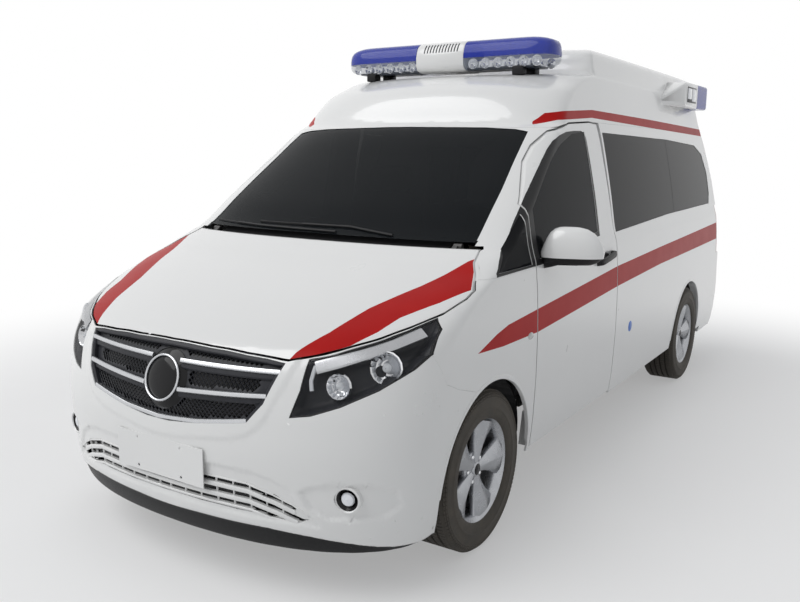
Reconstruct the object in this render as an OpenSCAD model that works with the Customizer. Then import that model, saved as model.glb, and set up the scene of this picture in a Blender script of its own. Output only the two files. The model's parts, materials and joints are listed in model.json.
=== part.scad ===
// Van-based ambulance with a raised roof: a shell of separate panels on a floor with rails,
// steered front wheels, a beam rear axle, hinged front doors, bonnet and tailgate.
// Frame: +X to the front, +Y to the vehicle's left, +Z up, ground at zero, middle of the length at zero.

/* [Body] */
// Length over the bumpers
body_len = 5140; // [4900:10:5400]
// Width of the body without mirrors
body_w = 1928; // [1800:4:2050]
// Height of the raised roof above the ground
roof_h = 2225; // [2100:5:2350]
// Thickness of doors, side walls, roof and tailgate
wall_t = 50; // [40:1:60]
// Thickness of bumpers and front wings
skin_t = 8; // [5:0.5:10]
// Thickness of the bonnet with its inner frame
hood_t = 14; // [10:1:18]
// Thickness of the window glass
glass_t = 6; // [4:0.5:8]
// Depth of the glass below the panel around it
glass_inset = 3; // [1:0.5:5]
// Gap round doors, bonnet and tailgate
panel_gap = 8; // [6:0.5:10]
// Seam between fixed panels, and round glass and lamps
seam = 0.6; // [0.3:0.1:0.8]

/* [Wheels] */
// Distance between the axles
wheelbase = 3200; // [3100:10:3300]
// Front axle behind the nose
front_overhang = 895; // [860:5:940]
// Distance between the left and right wheel centres
track = 1644; // [1600:4:1680]
// Outer diameter of the tyre
tyre_d = 678; // [650:2:700]
// Width of the tyre
tyre_w = 225; // [205:5:235]
// Bead diameter of the rim
rim_d = 432; // [406:2:457]
// Radius of the wheel arch
arch_r = 395; // [385:1:405]
// Number of spokes of the rim
spokes = 5; // [5:1:7]
// Radius of the wheel spindle
spindle_r = 22; // [18:1:26]
// Radius of the kingpin
kingpin_r = 14; // [12:1:16]
// Running clearance of pins and spindles
run_clear = 0.3; // [0.2:0.05:0.4]

/* [Hinges] */
// Radius of the door and tailgate hinge pins
pin_r = 6; // [5:0.5:7]
// Height of one hinge
hinge_h = 90; // [80:2:110]
// Hinge axis behind the edge of the panel
hinge_back = 40; // [36:1:44]
// Hinge axis below the outer skin
hinge_deep = 26; // [25:0.5:28]

/* [Light bar] */
// Length of the light bar across the roof
bar_len = 1300; // [1200:10:1380]
// Depth of the light bar from front to back
bar_depth = 250; // [220:5:280]
// Height of the light bar's housing
bar_h = 165; // [150:1:180]
// Underside of the light bar below the top of the roof
bar_drop = 149; // [140:1:155]
// Length of the speaker box in the middle of the bar
speaker_len = 300; // [260:5:340]

/* [Floor] */
// Underside of the load floor above the ground
floor_z = 500; // [480:5:520]
// Thickness of the load floor
floor_t = 60; // [50:1:70]
// Distance from the middle to the outer face of a chassis rail
rail_y = 480; // [460:5:490]
// Width of a chassis rail
rail_w = 60; // [50:1:70]
// Height of a chassis rail
rail_h = 80; // [70:1:90]

/* [Hidden] */
$fn = 48;
half_len = body_len / 2;
half_w = body_w / 2;
front_x = half_len - front_overhang;
rear_x = front_x - wheelbase;
axle_z = tyre_d / 2;
// Length by which cuts run past what they cut
overrun = 40;
// How far cutting prisms reach past the body
reach = body_w;
// Height step for the slope of the body's outline
slope_step = roof_h / 200;
// Steepest widening of a wall that lies almost flat
flat_limit_share = 4;
white = [0.93, 0.93, 0.92];
black = [0.06, 0.06, 0.07];
dark_glass = [0.08, 0.09, 0.1];
silver = [0.75, 0.76, 0.78];
steel = [0.35, 0.35, 0.37];
red = [0.75, 0.08, 0.06];
blue = [0.05, 0.12, 0.6];
rubber = [0.1, 0.1, 0.1];
beige = [0.75, 0.69, 0.58];

// Sections of the body from the ground up, as shares of roof height, half length and half width:
// height, nose, sweep of the front corner, half width, tail
level_shares = [
    [0.076, 0.969, 0.167, 0.923, -0.965],
    [0.097, 0.982, 0.175, 0.949, -0.979],
    [0.135, 0.991, 0.183, 0.973, -0.993],
    [0.189, 0.997, 0.187, 0.988, -1.000],
    [0.252, 1.000, 0.191, 0.996, -1.000],
    [0.315, 0.996, 0.191, 1.000, -0.990],
    [0.369, 0.984, 0.189, 1.000, -0.986],
    [0.404, 0.969, 0.185, 0.998, -0.985],
    [0.418, 0.958, 0.179, 0.997, -0.985],
    [0.440, 0.922, 0.163, 0.995, -0.984],
    [0.467, 0.862, 0.140, 0.991, -0.984],
    [0.494, 0.794, 0.117, 0.985, -0.984],
    [0.521, 0.720, 0.099, 0.978, -0.983],
    [0.539, 0.682, 0.090, 0.966, -0.983],
    [0.557, 0.640, 0.086, 0.955, -0.982],
    [0.629, 0.554, 0.088, 0.926, -0.969],
    [0.719, 0.447, 0.088, 0.884, -0.946],
    [0.787, 0.364, 0.090, 0.848, -0.926],
    [0.804, 0.338, 0.093, 0.836, -0.920],
    [0.838, 0.322, 0.107, 0.815, -0.912],
    [0.874, 0.298, 0.128, 0.796, -0.906],
    [0.901, 0.257, 0.148, 0.782, -0.901],
    [0.919, 0.212, 0.156, 0.773, -0.897],
    [0.927, 0.103, 0.080, 0.766, -0.896],
    [0.948, 0.075, 0.047, 0.754, -0.892],
    [0.975, 0.068, 0.047, 0.739, -0.883],
    [0.989, 0.051, 0.047, 0.716, -0.874],
    [0.996, 0.016, 0.051, 0.664, -0.856],
    [1.000, -0.039, 0.058, 0.539, -0.817]];
heights = [for (r = level_shares) r[0] * roof_h];
nose_by_z = [for (r = level_shares) [r[0] * roof_h, r[1] * half_len]];
sweep_by_z = [for (r = level_shares) [r[0] * roof_h, r[2] * half_len]];
width_by_z = [for (r = level_shares) [r[0] * roof_h, r[3] * half_w]];
tail_by_z = [for (r = level_shares) [r[0] * roof_h, r[4] * half_len]];
// Roundness of the front and rear corners in plan, two is a quarter of an ellipse
front_round_share = 2.2;
rear_round_share = 5;
// Steps round the front corner, along the side and round the rear corner
front_steps = 9;
side_steps = 4;
rear_steps = 4;
// Narrowing of the body towards the tail, and depth of the rear corner
tail_taper = 0.036 * half_w;
rear_corner = 0.058 * half_len;

// How much a wall widens on the level where its outline leans
function lean(table, z) =
    let (d = (lookup(z + slope_step, table) - lookup(z - slope_step, table)) / (2 * slope_step))
    min(sqrt(1 + d * d), flat_limit_share);
function nose_at(z, inset) = lookup(z, nose_by_z) - inset * lean(nose_by_z, z);
function tail_at(z, inset) = lookup(z, tail_by_z) + inset * lean(tail_by_z, z);
function width_at(z, inset) = lookup(z, width_by_z) - inset * lean(width_by_z, z);
// Front skin at a height and a distance from the middle
function front_at(z, y, inset) =
    let (w = width_at(z, inset), s = lookup(z, sweep_by_z), n = nose_at(z, inset))
    n - s + s * pow(max(0, 1 - pow(min(1, abs(y) / w), front_round_share)), 1 / front_round_share);
// Height of the front or roof skin above a point, found by halving
function skin_z(x, y, inset, low, high, steps = 16) =
    let (mid = (low + high) / 2)
    steps == 0 ? mid
    : front_at(mid, y, inset) > x ? skin_z(x, y, inset, mid, high, steps - 1)
    : skin_z(x, y, inset, low, mid, steps - 1);

function half_section(n, s, w, t, front_steps, side_steps, rear_steps) =
    let (rear_w = w - tail_taper, a = 2 / front_round_share, b = 2 / rear_round_share)
    concat(
        [for (i = [0:front_steps]) let (q = 90 * i / front_steps)
            [n - s + s * pow(max(0, cos(q)), a), w * pow(max(0, sin(q)), a)]],
        [for (i = [1:side_steps]) let (u = i / side_steps)
            [(n - s) * (1 - u) + (t + rear_corner) * u, w - tail_taper * u * u]],
        [for (i = [1:rear_steps]) let (q = 90 * i / rear_steps)
            [t + rear_corner - rear_corner * pow(max(0, sin(q)), b), rear_w * pow(max(0, cos(q)), b)]]);
function section(z, inset, coarse) =
    let (h = half_section(nose_at(z, inset), lookup(z, sweep_by_z), width_at(z, inset), tail_at(z, inset),
             coarse ? 5 : front_steps, coarse ? 2 : side_steps, coarse ? 2 : rear_steps),
         last = len(h) - 1)
    concat(h, [for (i = [last - 1:-1:1]) [h[i][0], -h[i][1]]]);

// The body's form, pushed in by an inset; the lowest section runs on down where the wall is open below.
// Behind a whole wall nothing shows its curve, so the form there has fewer sections and steps.
module body_form(inset, down = 0) {
    top = roof_h - inset;
    coarse = inset >= wall_t;
    zs = concat([for (i = [0:coarse ? 2 : 1:len(heights) - 1]) if (heights[i] < top - slope_step)
        heights[i]], [top]);
    rings = [for (i = [0:len(zs) - 1]) let (z = zs[i])
        [for (p = section(z, inset, coarse)) [p[0], p[1], i == 0 ? z - down : z]]];
    n = len(rings[0]);
    levels = len(rings);
    polyhedron(
        points = [for (r = rings) each r],
        faces = concat(
            [[for (j = [0:n - 1]) j]],
            [[for (j = [n - 1:-1:0]) (levels - 1) * n + j]],
            [for (i = [0:levels - 2], j = [0:n - 1]) let (k = (j + 1) % n)
                each [[i * n + j, (i + 1) * n + j, (i + 1) * n + k],
                    [i * n + j, (i + 1) * n + k, i * n + k]]]),
        convexity = 6);
}
// The wall between two insets
module wall(outer, inner) {
    difference() {
        body_form(outer);
        body_form(inner, overrun);
    }
}
// One mesh of all that it holds, at its own size
module meshed() { resize([0, 0, 0]) union() children(); }

// Outlines in side view, shares of half length and roof height
door_shares = [[0.486, 0.143], [0.486, 0.634], [0.402, 0.716], [0.361, 0.748], [0.311, 0.780],
    [0.235, 0.800], [0.121, 0.807], [0.080, 0.8045], [0.064, 0.517], [0.064, 0.143]];
door_window_shares = [[0.467, 0.528], [0.467, 0.625], [0.393, 0.690], [0.350, 0.724], [0.301, 0.753],
    [0.230, 0.778], [0.161, 0.785], [0.160, 0.555]];
quarter_light_shares = [[0.628, 0.520], [0.502, 0.617], [0.502, 0.520]];
side_window_shares = [[0.054, 0.545], [0.054, 0.786], [-0.460, 0.779], [-0.759, 0.766], [-0.837, 0.737],
    [-0.870, 0.674], [-0.870, 0.602], [-0.852, 0.567], [-0.373, 0.561]];
sliding_door_shares = [[0.054, 0.143], [0.054, 0.517], [0.058, 0.797], [-0.440, 0.797], [-0.440, 0.143]];
roof_shares = [[-1.100, 0.809], [0.121, 0.809], [0.235, 0.803], [0.296, 0.790], [0.506, 0.790],
    [0.506, 1.100], [-1.100, 1.100]];
// Seam between the front wing and the bumper, from the wheel arch to the headlamp
bumper_seam_shares = [[0.661, 0.306], [0.763, 0.342], [0.801, 0.361], [0.826, 0.414], [0.856, 0.449]];
// Outlines of one half in front view, shares of half width and roof height
windscreen_shares = [[0.060, 0.793], [0.488, 0.790], [0.664, 0.786], [0.729, 0.780], [0.755, 0.717],
    [0.780, 0.662], [0.809, 0.568], [0.060, 0.569]];
hood_shares = [[0.060, 0.417], [0.285, 0.415], [0.468, 0.411], [0.549, 0.409], [0.619, 0.416],
    [0.704, 0.426],
    [0.803, 0.4415], [0.867, 0.455], [0.928, 0.471], [0.954, 0.488], [0.955, 0.497], [0.911, 0.5195],
    [0.869, 0.537], [0.842, 0.556], [0.060, 0.556]];
grille_shares = [[0.060, 0.287], [0.197, 0.293], [0.430, 0.308], [0.490, 0.340], [0.519, 0.375],
    [0.541, 0.403], [0.467, 0.406], [0.285, 0.410], [0.060, 0.412]];
headlamp_shares = [[0.593, 0.323], [0.618, 0.366], [0.619, 0.411], [0.704, 0.420], [0.803, 0.436],
    [0.867, 0.449], [0.925, 0.465], [0.960, 0.449], [0.973, 0.416], [0.946, 0.396], [0.870, 0.3685],
    [0.761, 0.343], [0.668, 0.328]];
intake_shares = [[0.060, 0.157], [0.415, 0.155], [0.622, 0.148], [0.672, 0.158], [0.600, 0.180],
    [0.530, 0.1935], [0.420, 0.2065], [0.060, 0.2085]];
// Outlines of one half in rear view
tailgate_shares = [[0.060, 0.8054], [0.581, 0.8045], [0.685, 0.792], [0.768, 0.674], [0.830, 0.562],
    [0.861, 0.402], [0.861, 0.234], [0.060, 0.234]];
tailgate_window_shares = [[0.060, 0.764], [0.560, 0.760], [0.633, 0.742], [0.716, 0.589], [0.695, 0.572],
    [0.060, 0.572]];
tail_lamp_shares = [[0.882, 0.387], [0.990, 0.387], [0.990, 0.556], [0.882, 0.556]];

function side_points(shares) = [for (p = shares) [p[0] * half_len, p[1] * roof_h]];
function front_points(shares) = [for (p = shares) [p[0] * half_w, p[1] * roof_h]];
// Both halves of a front or rear view outline, in one loop
function both_halves(shares) =
    let (h = front_points(shares), n = len(h))
    concat(h, [for (i = [n - 1:-1:0]) [-h[i][0], h[i][1]]]);

// Prism of a side view outline on one side of the body, grown by a margin
module side_prism(points, margin = 0, from = 0, to = reach) {
    translate([0, to, 0]) rotate([90, 0, 0]) linear_extrude(to - from) offset(delta = margin)
        polygon(points);
}
// Prism of a front view outline between two stations, grown by a margin
module front_prism(points, from, to, margin = 0) {
    translate([from, 0, 0]) rotate([90, 0, 90]) linear_extrude(to - from) offset(delta = margin)
        polygon(points);
}
// What is drawn for the left, moved to the side that is asked for
module on_side(side) { mirror([0, side < 0 ? 1 : 0, 0]) children(); }
// Block between two corners
module block(a, b) { translate(a) cube(b - a); }

// Stations that bound the front and rear cuts
front_cut = 0.560 * half_len;
front_end = half_len + overrun;
lamp_cut = 0.740 * half_len;
screen_cut = 0.160 * half_len;
rear_cut = -0.800 * half_len;
rear_end = -half_len - overrun;
tail_lamp_x = -0.920 * half_len;
sill_z = 0.137 * roof_h;
belt_z = 0.513 * roof_h;
bumper_low = 0.092 * roof_h;
cowl_low = 0.551 * roof_h;
cowl_high = 0.572 * roof_h;
cowl_half = 0.815 * half_w;
rear_bumper_x = -0.800 * half_len;
rear_bumper_low = 0.115 * roof_h;
rear_bumper_top = 0.228 * roof_h;

module hood_zone(margin) { front_prism(both_halves(hood_shares), front_cut, front_end, margin); }
module screen_zone(margin) { front_prism(both_halves(windscreen_shares), screen_cut, front_end, margin); }
module lamp_zone(margin) { front_prism(front_points(headlamp_shares), lamp_cut, front_end, margin); }
module grille_zone(margin) { front_prism(both_halves(grille_shares), lamp_cut, front_end, margin); }
module door_zone(margin) { side_prism(side_points(door_shares), margin); }
module tailgate_zone(margin) { front_prism(both_halves(tailgate_shares), rear_end, rear_cut, margin); }
module tail_lamp_zone(margin) {
    front_prism(front_points(tail_lamp_shares), rear_end, tail_lamp_x + margin, margin);
}
module arch_zone(x, r) { translate([x, 0, axle_z]) rotate([-90, 0, 0]) cylinder(r = r, h = reach); }
// Slot for the scuttle between bonnet and windscreen
module cowl_zone() { block([front_cut, -cowl_half, cowl_low], [front_end, cowl_half, cowl_high]); }

// Fixed panels of the front

module fender() {
    front_edge = side_points(bumper_seam_shares);
    rear_edge = door_shares[0][0] * half_len;
    nose_top = [lamp_cut + overrun, belt_z];
    intersection() {
        wall(0, skin_t);
        difference() {
            side_prism(concat([[rear_edge, sill_z], [rear_edge, belt_z], nose_top],
                [for (i = [len(front_edge) - 1:-1:0]) front_edge[i]], [[front_edge[0][0], sill_z]]),
                    -seam / 2);
            door_zone(panel_gap);
            hood_zone(panel_gap);
            lamp_zone(seam);
            arch_zone(front_x, arch_r);
        }
    }
}
module fender_left() { color(white) meshed() fender(); }
module fender_right() { color(white) meshed() on_side(-1) fender(); }

module pillar() {
    back = screen_cut + overrun;
    ahead = lamp_cut + overrun;
    top = roof_shares[3][1] * roof_h;
    intersection() {
        wall(0, wall_t);
        difference() {
            side_prism([[back, belt_z], [back, top], [ahead, top], [ahead, belt_z]], -seam / 2);
            door_zone(panel_gap);
            hood_zone(panel_gap + hood_rim_t);
            screen_zone(seam);
            cowl_zone();
            side_prism(side_points(quarter_light_shares), seam);
            intersection() {
                body_form(skin_t);
                hood_zone(hood_rim_w);
            }
        }
    }
}
module pillar_left() { color(white) meshed() pillar(); }
module pillar_right() { color(white) meshed() on_side(-1) pillar(); }

plate_len = 470;
plate_h = 150;
plate_t = 4;
plate_z = 0.218 * roof_h;
fog_r = 42;
fog_y = 0.790 * half_w;
fog_z = 0.192 * roof_h;
module fog_zone(r) {
    translate([lamp_cut, fog_y, fog_z]) rotate([0, 90, 0]) cylinder(r = r, h = front_end - lamp_cut);
}

module front_bumper() {
    edge = side_points(bumper_seam_shares);
    color(white) meshed() intersection() {
        wall(0, skin_t);
        difference() {
            side_prism(concat(edge,
                [[front_end, edge[4][1]], [front_end, bumper_low], [edge[0][0], bumper_low]]),
                -seam / 2, -reach, reach);
            hood_zone(panel_gap);
            grille_zone(seam);
            front_prism(both_halves(intake_shares), lamp_cut, front_end, seam);
            block([half_len - plate_t, -plate_len / 2, plate_z - plate_h / 2],
                [front_end, plate_len / 2, plate_z + plate_h / 2]);
            for (side = [-1, 1]) on_side(side) {
                lamp_zone(seam);
                arch_zone(front_x, arch_r);
                fog_zone(fog_r + seam);
            }
        }
    }
}

// The grille's frame and slats lie on a backing plate
grille_back = 30;
grille_slats = 2;
slat_h = 22;
badge_r = 85;
badge_z_share = 0.350;
module grille() {
    top = grille_shares[len(grille_shares) - 1][1] * roof_h;
    low = grille_shares[0][1] * roof_h;
    pitch = (top - low) / (grille_slats + 1);
    color(black) meshed() intersection() {
        union() {
            wall(skin_t, grille_back);
            intersection() {
                wall(-skin_t / 2, skin_t * 2);
                for (i = [1:grille_slats])
                    block([lamp_cut, -half_w, low + i * pitch - slat_h / 2],
                        [front_end, half_w, low + i * pitch + slat_h / 2]);
            }
            intersection() {
                wall(-skin_t / 2, skin_t * 2);
                translate([lamp_cut, 0, badge_z_share * roof_h]) rotate([0, 90, 0])
                    cylinder(r = badge_r, h = front_end - lamp_cut);
            }
        }
        grille_zone(0);
    }
}

lamp_deep = 120;
module headlamps() {
    color(silver) meshed() for (side = [-1, 1]) on_side(side) intersection() {
        wall(0, lamp_deep);
        lamp_zone(0);
        block([lamp_cut, 0, 0], [front_end, half_w, roof_h]);
    }
}

intake_rows = 3;
intake_slat_h = 12;
module intake_grille() {
    low = intake_shares[0][1] * roof_h;
    top = intake_shares[len(intake_shares) - 1][1] * roof_h;
    pitch = (top - low) / intake_rows;
    color(white) meshed() intersection() {
        union() {
            wall(skin_t * 2, grille_back);
            intersection() {
                wall(skin_t / 2, grille_back);
                for (i = [0:intake_rows])
                    block([lamp_cut, -half_w, low + i * pitch - intake_slat_h / 2],
                        [front_end, half_w, low + i * pitch + intake_slat_h / 2]);
            }
        }
        front_prism(both_halves(intake_shares), lamp_cut, front_end);
    }
}

module fog_lamps() {
    color(black) meshed() for (side = [-1, 1]) on_side(side) intersection() {
        wall(skin_t / 2, lamp_deep / 2);
        fog_zone(fog_r);
    }
}

hole_r = 6;
plate_hole_y_share = 0.25;
plate_hole_z_share = 0.38;
module front_plate() {
    color(white) translate([half_len - plate_t, 0, plate_z]) rotate([90, 0, 90]) linear_extrude(plate_t)
        difference() {
        square([plate_len, plate_h], center = true);
        for (u = [-1, 1], v = [-1, 1])
            translate([u * plate_hole_y_share * plate_len, v * plate_hole_z_share * plate_h])
                circle(r = hole_r);
    }
}

// Sides, roof and tail

window_split = sliding_door_shares[3][0] * half_len;
window_post = 110;
pane_gap = 5;
// The whole side wall with its window, and the post behind the joint of the two panes
module side_shell() {
    difference() {
        wall(0, wall_t);
        side_prism(side_points(side_window_shares), seam);
    }
    intersection() {
        wall(glass_inset + glass_t + run_clear, wall_t);
        block([window_split - window_post / 2, 0, belt_z],
            [window_split + window_post / 2, reach, roof_shares[2][1] * roof_h]);
    }
}
module side_panel() {
    front = door_shares[0][0] * half_len;
    top = roof_shares[0][1] * roof_h;
    intersection() {
        side_shell();
        difference() {
            side_prism([[front, sill_z], [front, top], [rear_end, top], [rear_end, sill_z]], -seam / 2);
            block([door_shares[9][0] * half_len, 0, 0], [front_end, reach, roof_h]);
            door_zone(panel_gap);
            arch_zone(rear_x, arch_r);
            tailgate_zone(panel_gap);
            tail_lamp_zone(seam);
            block([rear_end, 0, tailgate_shares[2][1] * roof_h],
                [rear_cut, tailgate_shares[2][0] * half_w, roof_h]);
            block([rear_end, 0, 0], [rear_bumper_x + seam, reach, rear_bumper_top + seam]);
        }
    }
}
module side_left() { color(white) meshed() side_panel(); }
// Groove of the sliding door's middle rail
rail_shares = [[-0.470, 0.473], [-0.842, 0.473], [-0.842, 0.484], [-0.470, 0.484]];
rail_deep = 16;
module side_right() {
    color(white) meshed() on_side(-1) difference() {
        side_panel();
        side_prism(side_points(sliding_door_shares), seam);
        intersection() {
            wall(-overrun, rail_deep);
            side_prism(side_points(rail_shares));
        }
    }
}
module sliding_door_right() {
    color(white) meshed() on_side(-1) {
        intersection() {
            side_shell();
            side_prism(side_points(sliding_door_shares));
        }
        handle(slide_handle_shares);
    }
}

relief_h = 34;
module roof() {
    gate_top = tailgate_shares[0][1] * roof_h + panel_gap;
    color(white) meshed() difference() {
        intersection() {
            wall(0, wall_t);
            side_prism(side_points(roof_shares), -seam / 2, -reach, reach);
        }
        screen_zone(seam);
        tailgate_zone(panel_gap);
        gate_pads();
        for (side = [-1, 1]) on_side(side) door_zone(panel_gap);
        intersection() {
            body_form(skin_t);
            block([rear_end, -tailgate_shares[2][0] * half_w, 0],
                [rear_cut, tailgate_shares[2][0] * half_w, gate_top + relief_h]);
        }
    }
}

module glass_wall() { wall(glass_inset, glass_inset + glass_t); }
module windscreen() { color(dark_glass) meshed() intersection() { glass_wall(); screen_zone(0); } }
module side_glass() {
    color(dark_glass) meshed() for (side = [-1, 1]) on_side(side) intersection() {
        glass_wall();
        union() {
            difference() {
                side_prism(side_points(side_window_shares));
                block([window_split - pane_gap / 2, 0, 0], [window_split + pane_gap / 2, reach, roof_h]);
            }
            side_prism(side_points(quarter_light_shares));
        }
    }
}

module rear_bumper() {
    color(white) meshed() intersection() {
        wall(0, wall_t);
        difference() {
            block([rear_end, -reach, rear_bumper_low], [rear_bumper_x, reach, rear_bumper_top]);
            for (side = [-1, 1]) on_side(side) arch_zone(rear_x, arch_r);
        }
    }
}
module tail_lamps() {
    color(red) meshed() for (side = [-1, 1]) on_side(side) intersection() {
        wall(0, wall_t);
        tail_lamp_zone(0);
    }
}

// Grip strip across the tailgate
grip_shares = [[0.060, 0.446], [0.330, 0.446], [0.342, 0.456], [0.330, 0.464], [0.060, 0.464]];
grip_out = 16;
module tailgate() {
    color(white) meshed() {
        difference() {
            intersection() {
                wall(0, wall_t);
                tailgate_zone(0);
            }
            front_prism(both_halves(tailgate_window_shares), rear_end, rear_cut, seam);
            tailgate_hinge_places() hinge_pocket();
        }
        intersection() {
            wall(-grip_out, handle_sink);
            front_prism(both_halves(grip_shares), rear_end, rear_cut);
        }
    }
}
module tailgate_glass() {
    color(dark_glass) meshed() intersection() {
        glass_wall();
        front_prism(both_halves(tailgate_window_shares), rear_end, rear_cut);
    }
}

module door_panel() {
    difference() {
        intersection() {
            wall(0, wall_t);
            door_zone(0);
        }
        side_prism(side_points(door_window_shares), seam);
        door_hinge_places() hinge_pocket();
    }
}
module door_with_handle() {
    door_panel();
    handle(handle_shares);
}
module door_left() { color(white) meshed() door_with_handle(); }
module door_right() { color(white) meshed() on_side(-1) door_with_handle(); }
module door_pane() {
    intersection() {
        glass_wall();
        side_prism(side_points(door_window_shares));
    }
}
module door_glass_left() { color(dark_glass) meshed() door_pane(); }
module door_glass_right() { color(dark_glass) meshed() on_side(-1) door_pane(); }

// Pull handles: a bar on two feet, its ends given in side view
handle_shares = [[0.182, 0.485], [0.098, 0.4965]];
slide_handle_shares = [[0.040, 0.488], [-0.044, 0.4885]];
handle_h = 30;
handle_out = 36;
handle_gap = 18;
handle_sink = 2;
module handle(shares) {
    ends = side_points(shares);
    difference() {
        intersection() {
            wall(-handle_out, handle_sink);
            translate([0, reach, 0]) rotate([90, 0, 0]) linear_extrude(reach)
                hull() for (e = ends) translate(e) circle(d = handle_h, $fn = 20);
        }
        intersection() {
            body_form(-handle_gap);
            block([ends[1][0] + handle_h / 2, 0, 0], [ends[0][0] - handle_h / 2, reach, roof_h]);
        }
    }
}

hood_rim_t = 6;
hood_rim_w = 30;
module hood() {
    color(white) meshed() {
        intersection() {
            wall(0, hood_rim_t);
            hood_zone(0);
        }
        intersection() {
            wall(hood_rim_t / 2, hood_t);
            hood_zone(-hood_rim_w);
        }
    }
}

// Hinges: the axis is local Z, the panel runs to local -X, its outer skin faces local +Y

ring_r = 11;
pocket_back = 26;
pocket_out = 12;
leaf_h = 20;
leaf_play = 0.5;
arm_w = 16;
arm_y = 50;
gate_hinge_deep = 20;
pad_deep = 4;
pad_h = 80;
module hinge_pocket() {
    block([-pocket_back, -wall_t, -hinge_h / 2], [hinge_back + overrun, pocket_out, hinge_h / 2]);
}
module hinge_leaf() {
    for (v = [-1, 1]) translate([0, 0, v * (hinge_h - leaf_h) / 2]) difference() {
        block([-pocket_back, -ring_r, -leaf_h / 2], [ring_r, ring_r, leaf_h / 2]);
        cylinder(r = pin_r + run_clear, h = 2 * leaf_h, center = true);
    }
}
// Fixed half with its pin, reaching in by depth and then on by length
module hinge_bracket(depth, length) {
    h = hinge_h - 2 * leaf_h - 2 * leaf_play;
    cylinder(r = pin_r, h = hinge_h - 2 * leaf_play, center = true);
    cylinder(r = ring_r, h = h, center = true);
    block([-ring_r, -depth, -h / 2], [ring_r, 0, h / 2]);
    block([-ring_r, -depth, -h / 2], [length, -depth + arm_w, h / 2]);
}
// The same for the tailgate, with the arm bent up to its pad in the roof
module gate_bracket() {
    h = hinge_h - 2 * leaf_h - 2 * leaf_play;
    pad = gate_pad_x - gate_axis_x;
    top = gate_pad_low + pad_h - gate_axis_z - seam;
    cylinder(r = pin_r, h = hinge_h - 2 * leaf_play, center = true);
    cylinder(r = ring_r, h = h, center = true);
    // The arm leaves square to the leaning skin, so that it stays in the pocket as the gate swings up
    reach_in = (pad + arm_w) / cos(gate_lean);
    translate([0, 0, -h / 2]) linear_extrude(h) {
        rotate(-gate_lean) translate([0, -ring_r]) square([reach_in, 2 * ring_r]);
        translate([pad, -reach_in * sin(gate_lean) - ring_r])
            square([arm_w, top + reach_in * sin(gate_lean) + ring_r]);
    }
}

door_axis_x = door_shares[0][0] * half_len - hinge_back;
door_axis_y = half_w - hinge_deep;
door_hinge_z_shares = [0.235, 0.455];
module door_hinge_places() {
    for (s = door_hinge_z_shares) translate([door_axis_x, door_axis_y, s * roof_h]) children();
}
gate_axis_z = tailgate_shares[0][1] * roof_h - hinge_back;
gate_axis_x = tail_at(gate_axis_z, 0) + gate_hinge_deep;
gate_lean = atan((tail_at(gate_axis_z + hinge_back, 0) - tail_at(gate_axis_z - hinge_back, 0))
    / (2 * hinge_back));
gate_hinge_y = 0.45 * half_w;
module tailgate_hinge_places() {
    for (side = [-1, 1]) translate([gate_axis_x, side * gate_hinge_y, gate_axis_z])
        multmatrix([[0, -1, 0, 0], [0, 0, -1, 0], [1, 0, 0, 0]]) rotate(-gate_lean) children();
}
// Flat pads inside the roof's rear edge, where the tailgate's brackets are bolted on
gate_pad_low = tailgate_shares[0][1] * roof_h + panel_gap + relief_h;
gate_pad_x = tail_at(gate_pad_low, wall_t) - pad_deep;
module gate_pads() {
    for (side = [-1, 1]) translate([0, side * gate_hinge_y, 0])
        block([gate_pad_x, -hinge_h / 2, gate_axis_z],
            [gate_pad_x + 2 * wall_t, hinge_h / 2, gate_pad_low + pad_h]);
}
module door_hinges_left() { color(steel) door_hinge_places() hinge_leaf(); }
module door_hinges_right() { color(steel) on_side(-1) door_hinge_places() hinge_leaf(); }
module tailgate_hinges() { color(steel) tailgate_hinge_places() hinge_leaf(); }

hood_axis_x = 0.5953 * half_len;
hood_axis_z = 0.5587 * roof_h;
hood_hinge_y = 0.725 * half_w;
hood_arm_t = 22;
hood_ring_r = 12;
hood_arm_len = 120;
module hood_hinges() {
    top_x = hood_axis_x + hood_arm_len;
    out_y = hood_hinge_y + hood_arm_t / 2;
    edge_x = front_at(hood_shares[13][1] * roof_h, out_y, 0);
    edge_z = skin_z(edge_x, out_y, hood_t + run_clear, belt_z, roof_h);
    top_z = skin_z(top_x, out_y, hood_t + run_clear, belt_z, roof_h);
    color(steel) for (side = [-1, 1]) on_side(side) translate([0, out_y, 0]) rotate([90, 0, 0])
        difference() {
            union() {
                translate([hood_axis_x, hood_axis_z]) cylinder(r = hood_ring_r, h = hood_arm_t);
                linear_extrude(hood_arm_t) polygon([[hood_axis_x, hood_axis_z + hood_ring_r],
                    [hood_axis_x, hood_axis_z - hood_ring_r], [edge_x, edge_z - 2 * hood_ring_r],
                    [top_x, top_z - 2 * hood_ring_r], [top_x, top_z], [edge_x, edge_z]]);
            }
            translate([hood_axis_x, hood_axis_z, -overrun])
                cylinder(r = pin_r + run_clear, h = hood_arm_t + 2 * overrun);
        }
}
cowl_top = 0.522 * roof_h;
module hinge_brackets() {
    color(steel) {
        for (side = [-1, 1]) on_side(side) {
            door_hinge_places() hinge_bracket(arm_y + arm_w, hinge_back + panel_gap + post_gap);
            translate([0, hood_hinge_y + hood_arm_t / 2 + leaf_play, 0]) {
                block([hood_axis_x - hood_ring_r, 0, cowl_top],
                    [hood_axis_x + hood_ring_r, arm_w, hood_axis_z]);
                translate([hood_axis_x, arm_w, hood_axis_z]) rotate([90, 0, 0]) {
                    cylinder(r = hood_ring_r, h = arm_w);
                    cylinder(r = pin_r, h = arm_w + leaf_play + hood_arm_t);
                }
            }
        }
        for (side = [-1, 1]) translate([gate_axis_x, side * gate_hinge_y, gate_axis_z]) rotate([90, 0, 0])
            gate_bracket();
    }
}

// Structure

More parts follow.
